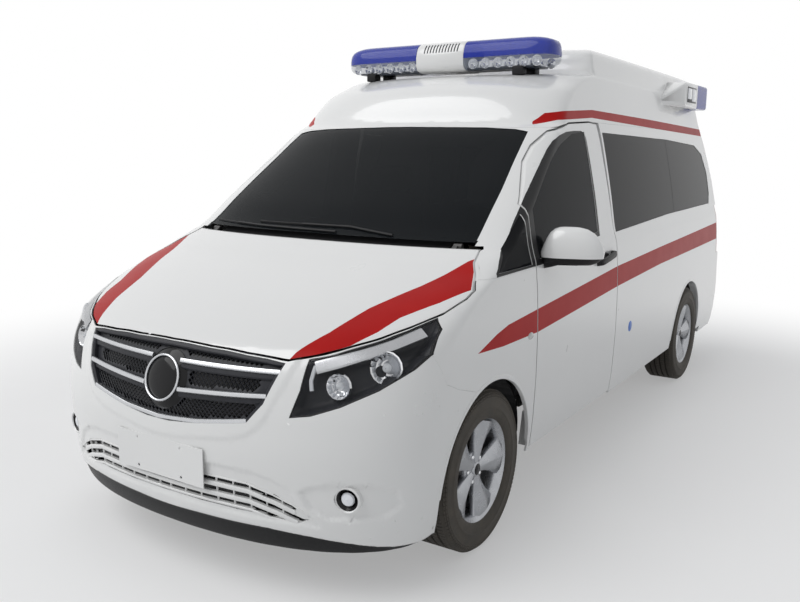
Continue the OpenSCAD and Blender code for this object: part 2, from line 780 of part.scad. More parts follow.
post_gap = 4;
post_t = 60;
post_deep = 70;
firewall_x = door_axis_x + hinge_back + panel_gap + post_gap;
firewall_top = 0.520 * roof_h;
module firewall() {
    post_out = door_axis_y - arm_y;
    color(steel) {
        for (side = [-1, 1]) on_side(side)
            block([firewall_x, post_out - post_deep, floor_z + floor_t],
                [firewall_x + post_t, post_out, firewall_top]);
        block([firewall_x, -(post_out - post_deep), floor_z + floor_t],
            [firewall_x + post_t / 2, post_out - post_deep, firewall_top]);
    }
}

cowl_inset = 25;
cowl_lip_t = 8;
cowl_shelf_t = 30;
cowl_lip_half = 0.690 * half_w;
module cowl() {
    color(black) meshed() difference() {
        intersection() {
            body_form(cowl_inset);
            union() {
                block([firewall_x + post_t, -half_w, cowl_top - cowl_shelf_t],
                    [front_end, half_w, cowl_top]);
                block([firewall_x + post_t, -cowl_lip_half, cowl_top],
                    [front_end, cowl_lip_half, cowl_high]);
            }
        }
        intersection() {
            body_form(cowl_inset + cowl_lip_t);
            block([front_cut - reach, -half_w, cowl_top], [front_end, half_w, roof_h]);
        }
        for (side = [-1, 1]) on_side(side) intersection() {
            block([0, 0, 0], [front_end, half_w, roof_h]);
            difference() {
                side_prism([[0, 0], [front_end, 0], [front_end, roof_h], [0, roof_h]]);
                body_form(wall_t + seam);
            }
            block([0, cowl_lip_half, 0], [front_end, half_w, roof_h]);
        }
    }
}

floor_front = firewall_x + post_t;
rail_end = 0.930 * half_len;
floor_wide = 0.850 * half_len;
module floor_pan() {
    color(steel) {
        meshed() difference() {
            // Up to the side walls, and clear of what opens at the front and the back
            union() {
                intersection() {
                    body_form(wall_t + seam);
                    block([-floor_wide, -half_w, floor_z],
                        [door_shares[9][0] * half_len - 2 * panel_gap, half_w, floor_z + floor_t]);
                }
                intersection() {
                    body_form(wall_t + panel_gap);
                    block([-half_len, -half_w, floor_z], [floor_front, half_w, floor_z + floor_t]);
                }
            }
            for (side = [-1, 1]) on_side(side) {
                translate([0, housing_rear_y - seam, 0]) arch_zone(rear_x, arch_r + housing_t + seam);
                translate([0, housing_front_y - seam, 0]) arch_zone(front_x, arch_r + housing_t + seam);
                block([door_axis_x - hinge_back, door_axis_y - arm_y - post_deep - post_t, 0],
                    [front_end, half_w, roof_h]);
            }
        }
        for (side = [-1, 1]) on_side(side)
            block([-rail_end, rail_y - rail_w, floor_z - rail_h], [rail_end, rail_y, floor_z]);
    }
}

housing_t = 6;
housing_lift = 50;
// Room between a rear tyre and its housing
housing_room = 20;
housing_rear_y = track / 2 - tyre_w / 2 - housing_room;
housing_front_y = rail_y + housing_t;
module housing(x, inner) {
    intersection() {
        body_form(wall_t + seam, axle_z);
        difference() {
            translate([x, inner, axle_z]) rotate([-90, 0, 0]) cylinder(r = arch_r + housing_t, h = reach);
            translate([x, inner + housing_t, axle_z]) rotate([-90, 0, 0]) cylinder(r = arch_r, h = reach);
            block([-half_len, 0, -reach], [half_len, reach, axle_z + housing_lift]);
        }
    }
}
module wheel_housings() {
    color(black) meshed() for (side = [-1, 1]) on_side(side) {
        housing(front_x, housing_front_y);
        housing(rear_x, housing_rear_y);
    }
}

engine_len = 620;
engine_w = 640;
engine_h = 560;
engine_ahead = 120;
member_t = 60;
member_len = 160;
module engine_block() {
    color(steel) translate([front_x + engine_ahead, 0, axle_z + engine_h / 2])
        cube([engine_len, engine_w, engine_h], center = true);
}

kingpin_in = 40;
kingpin_y = track / 2 - kingpin_in;
boss_h = 230;
arm_t = 24;
arm_half = 22;
strut_y = kingpin_y - 0.142 * half_w;
strut_r = 24;
module front_axle() {
    low = axle_z - boss_h / 2 - run_clear;
    high = axle_z + boss_h / 2 + run_clear;
    strut_top = axle_z + sqrt(arch_r * arch_r - strut_r * strut_r) - 4 * run_clear;
    color(steel) {
        translate([front_x - member_len / 2, -rail_y, axle_z - member_t])
            cube([member_len, 2 * rail_y, member_t]);
        for (side = [-1, 1]) on_side(side) {
            block([front_x - member_len / 2, rail_y - rail_w, axle_z],
                [front_x + member_len / 2, rail_y, floor_z - rail_h]);
            block([front_x - arm_half, rail_y - rail_w, low - arm_t], [front_x + arm_half, kingpin_y, low]);
            block([front_x - member_len / 2, rail_y - rail_w, low - arm_t],
                [front_x + member_len / 2, rail_y, axle_z - member_t]);
            block([front_x - arm_half, strut_y, high], [front_x + arm_half, kingpin_y, high + arm_t]);
            translate([front_x, kingpin_y, low - arm_t]) cylinder(r = arm_half, h = arm_t);
            translate([front_x, kingpin_y, high]) cylinder(r = arm_half, h = arm_t);
            translate([front_x, kingpin_y, low - arm_t])
                cylinder(r = kingpin_r, h = high - low + 2 * arm_t);
            translate([front_x, strut_y, low - arm_t]) cylinder(r = strut_r, h = strut_top - low + arm_t);
        }
    }
}

spindle_len = 40;
caliper_r = 110;
caliper_size = [60, 34, 70];
module knuckle() {
    color(steel) difference() {
        union() {
            translate([front_x, kingpin_y, axle_z]) cylinder(r = 2 * kingpin_r, h = boss_h, center = true);
            translate([front_x, kingpin_y, axle_z]) rotate([-90, 0, 0])
                cylinder(r = spindle_r, h = kingpin_in + spindle_len);
            block([front_x - caliper_r, kingpin_y - caliper_size[1] / 2, axle_z - caliper_size[2] / 4],
                [front_x, kingpin_y + caliper_size[1] / 2, axle_z + caliper_size[2] / 4]);
            block([front_x - caliper_r - caliper_size[0], kingpin_y - caliper_size[1] / 2,
                axle_z - caliper_size[2]],
                [front_x - caliper_r, kingpin_y + caliper_size[1] / 2, axle_z + caliper_size[2]]);
        }
        translate([front_x, kingpin_y, axle_z])
            cylinder(r = kingpin_r + run_clear, h = boss_h + 2 * overrun, center = true);
    }
}
module knuckle_left() { knuckle(); }
module knuckle_right() { on_side(-1) knuckle(); }

beam_r = 38;
beam_in = 0.12 * track;
trail_len = 460;
module rear_axle() {
    color(steel) translate([rear_x, 0, axle_z]) {
        rotate([90, 0, 0]) cylinder(r = beam_r, h = track - 2 * beam_in, center = true);
        rotate([90, 0, 0]) cylinder(r = spindle_r, h = track + 2 * spindle_len, center = true);
        for (side = [-1, 1]) on_side(side)
            block([0, rail_y - rail_w, -beam_r / 2], [trail_len, rail_y, beam_r / 2]);
        for (side = [-1, 1]) on_side(side)
            block([trail_len - rail_w, rail_y - rail_w, -beam_r / 2],
                [trail_len, rail_y, floor_z - rail_h - axle_z]);
    }
}

// Wheels: the axis is local Z, outside up

tread_share = 0.80;
shoulder_share = 0.94;
rim_w = 0.84 * tyre_w;
rim_wall = 10;
flange_h = 16;
tyre_r = tyre_d / 2;
rim_r = rim_d / 2;
function mirror_loop(p) = concat(p, [for (i = [len(p) - 1:-1:0]) [p[i][0], -p[i][1]]]);
module tyre() {
    h = tyre_w / 2;
    side_r = (tyre_r + rim_r) / 2;
    color(rubber) rotate_extrude() polygon(mirror_loop([
        [rim_r, rim_w / 2 - rim_wall - seam], [rim_r + flange_h, rim_w / 2 - rim_wall / 2 - seam],
        [rim_r + flange_h + 2 * seam, rim_w / 2], [side_r - flange_h, h * shoulder_share], [side_r, h],
            [side_r + flange_h, h * shoulder_share],
        [tyre_r - flange_h, h * tread_share + flange_h / 2],
            [tyre_r - flange_h / 4, h * tread_share - flange_h / 4],
                [tyre_r, h * tread_share - flange_h]]));
}

hub_r = 70;
hub_in = 6;
face_out = 0.40 * tyre_w;
face_hub = 0.27 * tyre_w;
face_t = 26;
disc_r = 150;
disc_t = 20;
disc_y = 8;
window_in = 92;
window_r_share = 0.88;
window_half_share = 0.30;
// Outline of one opening between two spokes, as a rounded wedge
function window_points(steps = 6) =
    let (r1 = (rim_r - rim_wall) * window_r_share, a = 180 / spokes * 2 * window_half_share)
    concat([for (i = [-steps:steps]) [r1 * cos(a * i / steps), r1 * sin(a * i / steps)]],
        [for (i = [steps:-1:-steps])
            [window_in * (1 + (1 - cos(90 * i / steps)) / 3) * cos(a * i / steps / 1.6),
            window_in * (1 + (1 - cos(90 * i / steps)) / 3) * sin(a * i / steps / 1.6)]]);
module rim() {
    in_r = rim_r - rim_wall;
    h = rim_w / 2;
    color(silver) difference() {
        union() {
            rotate_extrude() polygon([[in_r, -h], [rim_r + flange_h - seam, -h],
                [rim_r + flange_h - seam, -h + rim_wall / 2],
                [rim_r - seam, -h + rim_wall], [rim_r - seam, h - rim_wall],
                    [rim_r + flange_h - seam, h - rim_wall / 2],
                [rim_r + flange_h - seam, h], [in_r, h]]);
            rotate_extrude() polygon([[0, face_hub - face_t], [hub_r, face_hub - face_t],
                [in_r + seam, face_out - face_t],
                [in_r + seam, face_out], [hub_r, face_hub], [0, face_hub]]);
            translate([0, 0, -hub_in]) cylinder(r = 2 * spindle_r, h = face_hub + hub_in - seam);
            translate([0, 0, disc_y]) cylinder(r = disc_r, h = disc_t);
        }
        for (i = [0:spokes - 1]) rotate(i * 360 / spokes) translate([0, 0, disc_y + disc_t + seam])
            linear_extrude(tyre_w) polygon(window_points());
        translate([0, 0, -hub_in - overrun])
            cylinder(r = spindle_r + run_clear, h = hub_in + overrun + spindle_len + run_clear);
    }
}
module at_wheel(x, side) { on_side(side) translate([x, track / 2, axle_z]) rotate([-90, 0, 0]) children(); }
module tyre_front_left() { at_wheel(front_x, 1) tyre(); }
module tyre_front_right() { at_wheel(front_x, -1) tyre(); }
module tyre_rear_left() { at_wheel(rear_x, 1) tyre(); }
module tyre_rear_right() { at_wheel(rear_x, -1) tyre(); }
module rim_front_left() { at_wheel(front_x, 1) rim(); }
module rim_front_right() { at_wheel(front_x, -1) rim(); }
module rim_rear_left() { at_wheel(rear_x, 1) rim(); }
module rim_rear_right() { at_wheel(rear_x, -1) rim(); }

// Lights on the roof

bar_x = 0.152 * half_len;
bar_z = roof_h - bar_drop;
bar_round = 60;
bar_slope = 30;
bar_shoulder = 0.75 * bar_h;
foot_len = 60;
foot_y_share = 0.36;
// The feet start below the roof's skin and are cut to it
foot_low = 0.900 * roof_h;
// Body of the bar between two shares of its height, cut to a length about the middle
module bar_slice(low_share, high_share) {
    meshed() intersection() {
        translate([bar_x, 0, bar_z]) hull() for (u = [-1, 1], v = [-1, 1], top = [0, 1])
            translate([u * (bar_depth / 2 - bar_round - top * bar_slope),
                v * (bar_len / 2 - 2 * bar_round - top * bar_slope), 0])
                scale([1, 2, 1]) cylinder(r = bar_round, h = top == 1 ? bar_h : bar_shoulder, $fn = 32);
        block([bar_x - bar_depth, -bar_len, bar_z + low_share * bar_h],
            [bar_x + bar_depth, bar_len, bar_z + high_share * bar_h]);
        children();
    }
}
module light_bar() {
    color(white) bar_slice(0, 1)
        block([bar_x - bar_depth, -speaker_len / 2, 0],
            [bar_x + bar_depth, speaker_len / 2, bar_z + bar_h]);
    color(black) meshed() for (u = [-1, 1], v = [-1, 1]) difference() {
        block([bar_x + u * bar_depth / 3 - foot_len / 2, v * foot_y_share * bar_len - foot_len / 2,
            foot_low],
            [bar_x + u * bar_depth / 3 + foot_len / 2, v * foot_y_share * bar_len + foot_len / 2,
                bar_z - run_clear]);
        body_form(-run_clear);
    }
}
module light_bar_lenses() {
    color(blue) for (side = [-1, 1]) on_side(side) bar_slice(0, 1)
        block([bar_x - bar_depth, speaker_len / 2 + run_clear, 0],
            [bar_x + bar_depth, bar_len, bar_z + bar_h]);
}

// A pod rises out of the roof's side as a wedge and ends in a box with the lamp
pod_len = 900;
pod_box_len = 640;
pod_h = 172;
pod_out = 92;
pod_round = 28;
pod_rear_x = -0.825 * half_len;
pod_z = 0.924 * roof_h;
module corner_lamps() {
    side_y = width_at(pod_z, 0);
    color(white) meshed() for (side = [-1, 1]) on_side(side) difference() {
        hull() {
            for (u = [pod_round, pod_box_len - pod_round], v = [-1, 1])
                translate([pod_rear_x + u, side_y + pod_out, pod_z + v * (pod_h / 2 - pod_round)])
                    rotate([90, 0, 0])
                    cylinder(r = pod_round, h = 2 * pod_out, $fn = 24);
            translate([pod_rear_x + pod_len - pod_round, side_y, pod_z - pod_h / 2 + pod_round])
                rotate([90, 0, 0])
                cylinder(r = pod_round, h = pod_out, $fn = 24);
        }
        body_form(-2 * run_clear);
    }
}

// Cab

// Tip of the blade, its joint with the arm, and the arm's end under the bonnet's edge, in front view
wiper_shares = [[[-0.768, 0.578], [-0.373, 0.5735], [0.104, 0.572]],
    [[-0.415, 0.5815], [0.162, 0.5825], [0.415, 0.572]]];
wiper_h = 12;
wiper_t = 8;
module wipers() {
    color(black) meshed() for (shares = wiper_shares) intersection() {
        wall(-wiper_t, glass_inset - run_clear);
        translate([front_cut, 0, 0]) rotate([90, 0, 90]) linear_extrude(front_end - front_cut) {
            p = front_points(shares);
            for (i = [0:1]) hull() for (q = [p[i], p[i + 1]]) translate(q) circle(d = wiper_h, $fn = 16);
        }
    }
}

seat_x = 0.165 * half_len;
seat_y = 0.42 * half_w;
seat_w = 500;
seat_base = 340;
seat_len = 520;
back_t = 130;
back_h = 640;
back_lean = 90;
module seats() {
    z = floor_z + floor_t;
    color(beige) for (side = [-1, 1]) translate([seat_x, side * seat_y + seat_w / 2, z])
        rotate([90, 0, 0]) linear_extrude(seat_w)
        polygon([[0, 0], [seat_len, 0], [seat_len, seat_base], [back_t, seat_base - back_lean / 3],
            [back_t - back_lean, seat_base + back_h], [-back_lean, seat_base + back_h],
                [0, seat_base - back_lean / 3]]);
}
dash_len = 280;
dash_low = 0.36 * roof_h;
dash_half = 0.88 * half_w;
module dashboard() {
    color(black) translate([firewall_x, dash_half, 0]) rotate([90, 0, 0]) linear_extrude(2 * dash_half)
        polygon([[0, dash_low], [0, firewall_top], [-dash_len / 2, firewall_top],
            [-dash_len, firewall_top - dash_len / 3],
            [-dash_len, dash_low + dash_len / 2], [-dash_len / 2, dash_low]]);
}
wheel_ring_r = 180;
wheel_grip_r = 15;
column_r = 30;
column_len = 160;
column_tilt = 55;
column_z = 0.430 * roof_h;
module steering_wheel() {
    color(black) translate([firewall_x - dash_len - column_r * cos(column_tilt) - run_clear, seat_y,
        column_z]) rotate([0, -column_tilt, 0]) {
        translate([0, 0, run_clear]) cylinder(r = column_r, h = column_len);
        translate([0, 0, column_len]) rotate_extrude() translate([wheel_ring_r, 0])
            circle(r = wheel_grip_r);
        for (a = [0, 120, 240]) rotate(a) translate([0, -wheel_grip_r, column_len - wheel_grip_r / 2])
            cube([wheel_ring_r, 2 * wheel_grip_r, wheel_grip_r]);
    }
}
partition_x = -0.02 * half_len;
partition_t = 30;
hatch_top = 0.750 * roof_h;
module partition() {
    color(white) meshed() difference() {
        intersection() {
            body_form(wall_t + seam);
            block([partition_x - partition_t, -half_w, floor_z + floor_t],
                [partition_x, half_w, roof_shares[0][1] * roof_h]);
        }
        block([partition_x - 2 * overrun, -seat_y, belt_z], [partition_x + overrun, seat_y, hatch_top]);
    }
}

mirror_len = 280;
mirror_h = 170;
mirror_deep = 120;
mirror_sweep = 20;
// Where the middle of the shell's foot is, as shares of half length, half width and roof height
mirror_pos_shares = [0.434, 1.094, 0.515];
// The shell seen from the front, from its inner to its outer end, as shares of its length and height
mirror_shares = [[-0.44, 0], [-0.50, 0.18], [-0.44, 0.55], [-0.34, 0.88], [-0.26, 0.97], [-0.12, 1],
    [0.12, 0.97],
    [0.28, 0.88], [0.41, 0.68], [0.49, 0.42], [0.50, 0.26], [0.38, 0.08], [0.20, 0]];
mirror_foot_h = 40;
mirror_round_share = 2.5;
module mirror_shell() {
    p = [mirror_pos_shares[0] * half_len, mirror_pos_shares[1] * half_w, mirror_pos_shares[2] * roof_h];
    difference() {
        union() {
            // The outline from the front and a rounded plan share one volume
            translate(p) rotate(mirror_sweep) intersection() {
                translate([mirror_deep, 0, 0]) rotate([90, 0, -90]) linear_extrude(2 * mirror_deep)
                    polygon([for (q = mirror_shares) [-q[0] * mirror_len, q[1] * mirror_h]]);
                linear_extrude(mirror_h)
                    polygon([for (i = [0:23]) let (q = 15 * i, e = 2 / mirror_round_share)
                    [sign(cos(q)) * pow(abs(cos(q)), e) * mirror_deep / 2,
                        sign(sin(q)) * pow(abs(sin(q)), e) * mirror_len / 2]]);
            }
            hull() {
                translate(p) cylinder(d = mirror_deep / 2, h = mirror_foot_h);
                translate([p[0] + mirror_deep / 4, half_w - mirror_deep / 2, p[2] - mirror_foot_h / 2])
                    cylinder(d = mirror_deep / 2, h = mirror_foot_h);
            }
        }
        body_form(-run_clear);
    }
}
module mirror_left() { color(white) meshed() mirror_shell(); }
module mirror_right() { color(white) meshed() on_side(-1) mirror_shell(); }

floor_pan();
wheel_housings();
firewall();
cowl();
engine_block();
front_axle();
rear_axle();
fender_left();
fender_right();
pillar_left();
pillar_right();
side_left();
side_right();
sliding_door_right();
roof();
windscreen();
side_glass();
front_bumper();
grille();
headlamps();
intake_grille();
fog_lamps();
front_plate();
rear_bumper();
tail_lamps();
light_bar();
light_bar_lenses();
corner_lamps();
wipers();
seats();
dashboard();
steering_wheel();
partition();
hinge_brackets();
knuckle_left();
knuckle_right();
tyre_front_left();
tyre_front_right();
tyre_rear_left();
tyre_rear_right();
rim_front_left();
rim_front_right();
rim_rear_left();
rim_rear_right();
door_left();
door_right();
door_glass_left();
door_glass_right();
mirror_left();
mirror_right();
door_hinges_left();
door_hinges_right();
hood();
hood_hinges();
tailgate();
tailgate_glass();
tailgate_hinges();
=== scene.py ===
# %% [markdown]
# # Dressing an ambulance van
# The CAD parts of the van are loaded as a fixed frame: real panels, glass, axles and hinges at their real
# place. This lesson gives them their looks. It smooths the painted panels, paints the stripes on them, and
# models the lamps, grille, light bar, wheels, mirrors and seats that the CAD parts only stand in for.

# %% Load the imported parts
import json
import math

import bmesh
import bpy
import numpy as np
from mathutils import Matrix, Vector
from mathutils.bvhtree import BVHTree

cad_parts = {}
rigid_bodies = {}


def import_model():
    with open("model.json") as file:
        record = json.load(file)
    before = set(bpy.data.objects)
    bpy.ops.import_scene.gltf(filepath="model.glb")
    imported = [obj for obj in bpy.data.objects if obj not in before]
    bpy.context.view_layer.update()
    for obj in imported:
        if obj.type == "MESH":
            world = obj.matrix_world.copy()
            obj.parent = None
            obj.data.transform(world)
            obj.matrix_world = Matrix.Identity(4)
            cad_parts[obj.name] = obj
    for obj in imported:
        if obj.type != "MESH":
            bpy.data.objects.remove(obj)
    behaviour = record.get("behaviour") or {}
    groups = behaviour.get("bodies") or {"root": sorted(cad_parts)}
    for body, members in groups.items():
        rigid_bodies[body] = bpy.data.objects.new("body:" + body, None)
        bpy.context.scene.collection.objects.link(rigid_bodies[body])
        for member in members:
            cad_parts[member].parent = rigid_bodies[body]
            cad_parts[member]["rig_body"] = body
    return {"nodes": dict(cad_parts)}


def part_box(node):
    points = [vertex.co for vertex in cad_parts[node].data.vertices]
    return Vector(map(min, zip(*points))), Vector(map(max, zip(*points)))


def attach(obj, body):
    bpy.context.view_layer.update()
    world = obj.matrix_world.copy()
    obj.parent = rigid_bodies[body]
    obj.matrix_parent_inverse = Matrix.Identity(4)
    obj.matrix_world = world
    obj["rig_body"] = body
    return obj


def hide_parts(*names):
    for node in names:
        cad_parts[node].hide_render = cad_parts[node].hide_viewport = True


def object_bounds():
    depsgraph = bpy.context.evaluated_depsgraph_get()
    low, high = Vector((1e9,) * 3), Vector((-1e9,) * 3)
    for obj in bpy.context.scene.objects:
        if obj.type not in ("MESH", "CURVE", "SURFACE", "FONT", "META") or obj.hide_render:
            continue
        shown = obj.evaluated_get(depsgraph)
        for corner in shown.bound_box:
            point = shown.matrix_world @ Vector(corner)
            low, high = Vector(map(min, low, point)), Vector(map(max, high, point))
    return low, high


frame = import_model()
cad_box = [list(corner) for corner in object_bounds()]
nodes = frame["nodes"]
body_of = {name: node["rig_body"] for name, node in nodes.items()}
print("nodes", len(nodes), "box", cad_box)

# %% [markdown]
# ## The form of the body
# A van's shell is one smooth form that is cut into panels. The CAD panels follow it in flat facets, which
# would show as bands in glossy paint. So the form is worked out here once more, through the same sections
# but as a smooth curve, and kept as a search tree. Each panel can then ask it for the true place and the
# true normal of a point. Each section is a nose, a swept front corner, a side, and a tight rear corner,
# given as shares of the van's size.

# %% Sections of the body
HALF_LEN = (cad_box[1][0] - cad_box[0][0]) / 2
HALF_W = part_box("front_bumper")[1].y
ROOF_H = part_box("roof")[1].z
# height, nose, sweep of the front corner, half width, tail
SECTION_SHARES = np.array([
    [0.076, 0.969, 0.167, 0.923, -0.965], [0.097, 0.982, 0.175, 0.949, -0.979],
    [0.135, 0.991, 0.183, 0.973, -0.993], [0.189, 0.997, 0.187, 0.988, -1.000],
    [0.252, 1.000, 0.191, 0.996, -1.000], [0.315, 0.996, 0.191, 1.000, -0.990],
    [0.369, 0.984, 0.189, 1.000, -0.986], [0.404, 0.969, 0.185, 0.998, -0.985],
    [0.418, 0.958, 0.179, 0.997, -0.985], [0.440, 0.922, 0.163, 0.995, -0.984],
    [0.467, 0.862, 0.140, 0.991, -0.984], [0.494, 0.794, 0.117, 0.985, -0.984],
    [0.521, 0.720, 0.099, 0.978, -0.983], [0.539, 0.682, 0.090, 0.966, -0.983],
    [0.557, 0.640, 0.086, 0.955, -0.982], [0.629, 0.554, 0.088, 0.926, -0.969],
    [0.719, 0.447, 0.088, 0.884, -0.946], [0.787, 0.364, 0.090, 0.848, -0.926],
    [0.804, 0.338, 0.093, 0.836, -0.920], [0.838, 0.322, 0.107, 0.815, -0.912],
    [0.874, 0.298, 0.128, 0.796, -0.906], [0.901, 0.257, 0.148, 0.782, -0.901],
    [0.919, 0.212, 0.156, 0.773, -0.897], [0.927, 0.103, 0.080, 0.766, -0.896],
    [0.948, 0.075, 0.047, 0.754, -0.892], [0.975, 0.068, 0.047, 0.739, -0.883],
    [0.989, 0.051, 0.047, 0.716, -0.874], [0.996, 0.016, 0.051, 0.664, -0.856],
    [1.000, -0.039, 0.058, 0.539, -0.817]])
SECTIONS = SECTION_SHARES * [ROOF_H, HALF_LEN, HALF_LEN, HALF_W, HALF_LEN]
FRONT_ROUND, REAR_ROUND = 2.2, 5.0
TAIL_TAPER, REAR_CORNER = 0.036 * HALF_W, 0.058 * HALF_LEN


def smooth_rows(heights):
    """Values of every column at the heights, on a curve that doesn't swing past the sections."""
    x, y = SECTIONS[:, 0], SECTIONS[:, 1:]
    step = np.diff(x)[:, None]
    rise = np.diff(y, axis=0) / step
    both = rise[:-1] * rise[1:]
    slope = np.vstack([rise[:1], np.where(both > 0, 2 * both / (rise[:-1] + rise[1:] + 1e-12), 0), rise[-1:]])
    i = np.clip(np.searchsorted(x, heights) - 1, 0, len(step) - 1)
    t = ((heights - x[i]) / step[i, 0])[:, None]
    return ((1 + 2 * t) * (1 - t) ** 2 * y[i] + t * (1 - t) ** 2 * step[i] * slope[i]
            + t * t * (3 - 2 * t) * y[i + 1] + t * t * (t - 1) * step[i] * slope[i + 1])


def quarter(power, steps):
    """A rounded quarter from (1, 0) to (0, 1); power two is a circle."""
    a = np.linspace(0, math.pi / 2, steps)
    r = (np.cos(a) ** power + np.sin(a) ** power) ** (-1 / power)
    return r * np.cos(a), r * np.sin(a)


def ring(nose, sweep, width, tail):
    """Points round one section, from the nose over the left side to the tail and back."""
    fx, fy = quarter(FRONT_ROUND, 44)
    rx, ry = quarter(REAR_ROUND, 40)
    u = np.linspace(0, 1, 30)[1:-1]
    x = np.concatenate([nose - sweep + sweep * fx, (nose - sweep) * (1 - u) + (tail + REAR_CORNER) * u,
                        (tail + REAR_CORNER - REAR_CORNER * rx)[::-1]])
    y = np.concatenate([width * fy, width - TAIL_TAPER * u * u, ((width - TAIL_TAPER) * ry)[::-1]])
    return np.concatenate([np.stack([x, y], 1), np.stack([x, -y], 1)[-2:0:-1]])


# %% The form as a search tree
LEVELS_PER_SECTION = 9
levels = np.unique(np.concatenate([np.linspace(a, b, LEVELS_PER_SECTION) for a, b in
                                   zip(SECTIONS[:-1, 0], SECTIONS[1:, 0])]))
form = np.array([np.column_stack([ring(*row), np.full(len(ring(*row)), z)])
                 for z, row in zip(levels, smooth_rows(levels))])
roof_middle = form[-1].mean(0)
ROOF_SHARES = (0.8, 0.5, 0.2, 0.01)
form = np.concatenate([form, [roof_middle + (form[-1] - roof_middle) * share for share in ROOF_SHARES]])
round_step = np.roll(form, -1, 1) - np.roll(form, 1, 1)
form_normals = np.cross(round_step, np.gradient(form, axis=0))
form_normals /= np.linalg.norm(form_normals, axis=2, keepdims=True) + 1e-12
AROUND = form.shape[1]


def point_id(level, step):
    """Number of a point of the form, counted round each level in turn."""
    return level * AROUND + step % AROUND


corner_ids = [(point_id(i, j), point_id(i, j + 1), point_id(i + 1, j + 1), point_id(i + 1, j))
              for i in range(len(form) - 1) for j in range(AROUND)]
form_points = form.reshape(-1, 3)
form_normals = form_normals.reshape(-1, 3)
form_tree = BVHTree.FromPolygons(form_points.tolist(), corner_ids)


def on_form(point):
    """The nearest point of the form, its normal, and how far it is."""
    place, _, index, distance = form_tree.find_nearest(point)
    ids = list(corner_ids[index])
    weight = 1 / (np.linalg.norm(form_points[ids] - np.array(place), axis=1) + 1e-5)
    normal = Vector((form_normals[ids] * weight[:, None]).sum(0)).normalized()
    return place, normal, distance


def skin_place(start, direction, inset):
    """Where a ray first meets the form, pushed in by an inset, and the normal there."""
    place, normal, _ = on_form(form_tree.ray_cast(start, direction)[0])
    return place - normal * inset, normal


def front_place(y, z, inset):
    """Point and normal of the front skin at a distance from the middle and a height."""
    return skin_place(Vector((HALF_LEN + 1, y, z)), Vector((-1, 0, 0)), inset)


def side_place(x, z, side, inset):
    """Point and normal of the left (1) or right (-1) skin at a station and a height."""
    return skin_place(Vector((x, side * (HALF_W + 1), z)), Vector((0, -side, 0)), inset)


print("form", form.shape)

# %% [markdown]
# ## Finishes
# Nothing on a vehicle is one flat colour. Paint varies a little from place to place, plastic has a moulded
# grain, rubber is dusty and cast metal is uneven. All of these are one effect at different scales, so it is
# a node group: a noise on the piece's own coordinates gives a mask for colour and roughness and a height
# for a bump.

# %% The group that breaks up a surface


def breakup_group():
    """Noise on a piece's own coordinates, as a mask and as a height."""
    group = bpy.data.node_groups.new("surface breakup", "ShaderNodeTree")
    for name, default in (("Scale", 40.0), ("Detail", 4.0), ("Contrast", 1.0)):
        socket = group.interface.new_socket(name, in_out="INPUT", socket_type="NodeSocketFloat")
        socket.default_value = default
    for name in ("Mask", "Height"):
        group.interface.new_socket(name, in_out="OUTPUT", socket_type="NodeSocketFloat")
    n, link = group.nodes, group.links.new
    inputs, outputs = n.new("NodeGroupInput"), n.new("NodeGroupOutput")
    coordinates, noise = n.new("ShaderNodeTexCoord"), n.new("ShaderNodeTexNoise")
    link(coordinates.outputs["Object"], noise.inputs["Vector"])
    link(inputs.outputs["Scale"], noise.inputs["Scale"])
    link(inputs.outputs["Detail"], noise.inputs["Detail"])
    middle, spread, back = (n.new("ShaderNodeMath") for _ in range(3))
    middle.operation, spread.operation, back.operation = "SUBTRACT", "MULTIPLY", "ADD"
    middle.inputs[1].default_value = back.inputs[1].default_value = 0.5
    back.use_clamp = True
    link(noise.outputs["Fac"], middle.inputs[0])
    link(middle.outputs[0], spread.inputs[0])
    link(inputs.outputs["Contrast"], spread.inputs[1])
    link(spread.outputs[0], back.inputs[0])
    link(back.outputs[0], outputs.inputs["Mask"])
    link(noise.outputs["Fac"], outputs.inputs["Height"])
    return group


BREAKUP = breakup_group()


def finish(name, colour, rough, second, metal=0.0, coat=0.0, scale=40.0, contrast=1.5, rough_range=0.06,
           bump=0.0, bump_size=0.001, alpha=1.0, gloss=0.5):
    """A material: two colours and a range of roughness, broken up by the group, with a bump."""
    material = bpy.data.materials.new(name)
    material.use_nodes = True
    n, link = material.node_tree.nodes, material.node_tree.links.new
    shader = n["Principled BSDF"]
    group = n.new("ShaderNodeGroup")
    group.node_tree = BREAKUP
    group.inputs["Scale"].default_value, group.inputs["Contrast"].default_value = scale, contrast
    mix = n.new("ShaderNodeMix")
    mix.data_type = "RGBA"
    mix.inputs["A"].default_value, mix.inputs["B"].default_value = (*colour, 1), (*second, 1)
    link(group.outputs["Mask"], mix.inputs["Factor"])
    link(mix.outputs["Result"], shader.inputs["Base Color"])
    rough_map = n.new("ShaderNodeMapRange")
    rough_map.inputs["To Min"].default_value = max(0.0, rough - rough_range / 2)
    rough_map.inputs["To Max"].default_value = rough + rough_range / 2
    link(group.outputs["Mask"], rough_map.inputs["Value"])
    link(rough_map.outputs["Result"], shader.inputs["Roughness"])
    shader.inputs["Metallic"].default_value = metal
    shader.inputs["Coat Weight"].default_value = coat
    shader.inputs["Coat Roughness"].default_value = 0.04
    shader.inputs["Alpha"].default_value = alpha
    shader.inputs["Specular IOR Level"].default_value = gloss
    if bump:
        fine = n.new("ShaderNodeGroup")
        fine.node_tree = BREAKUP
        fine.inputs["Scale"].default_value = 1 / bump_size
        bumped = n.new("ShaderNodeBump")
        bumped.inputs["Strength"].default_value = bump
        bumped.inputs["Distance"].default_value = bump_size
        link(fine.outputs["Height"], bumped.inputs["Height"])
        link(bumped.outputs["Normal"], shader.inputs["Normal"])
    return material


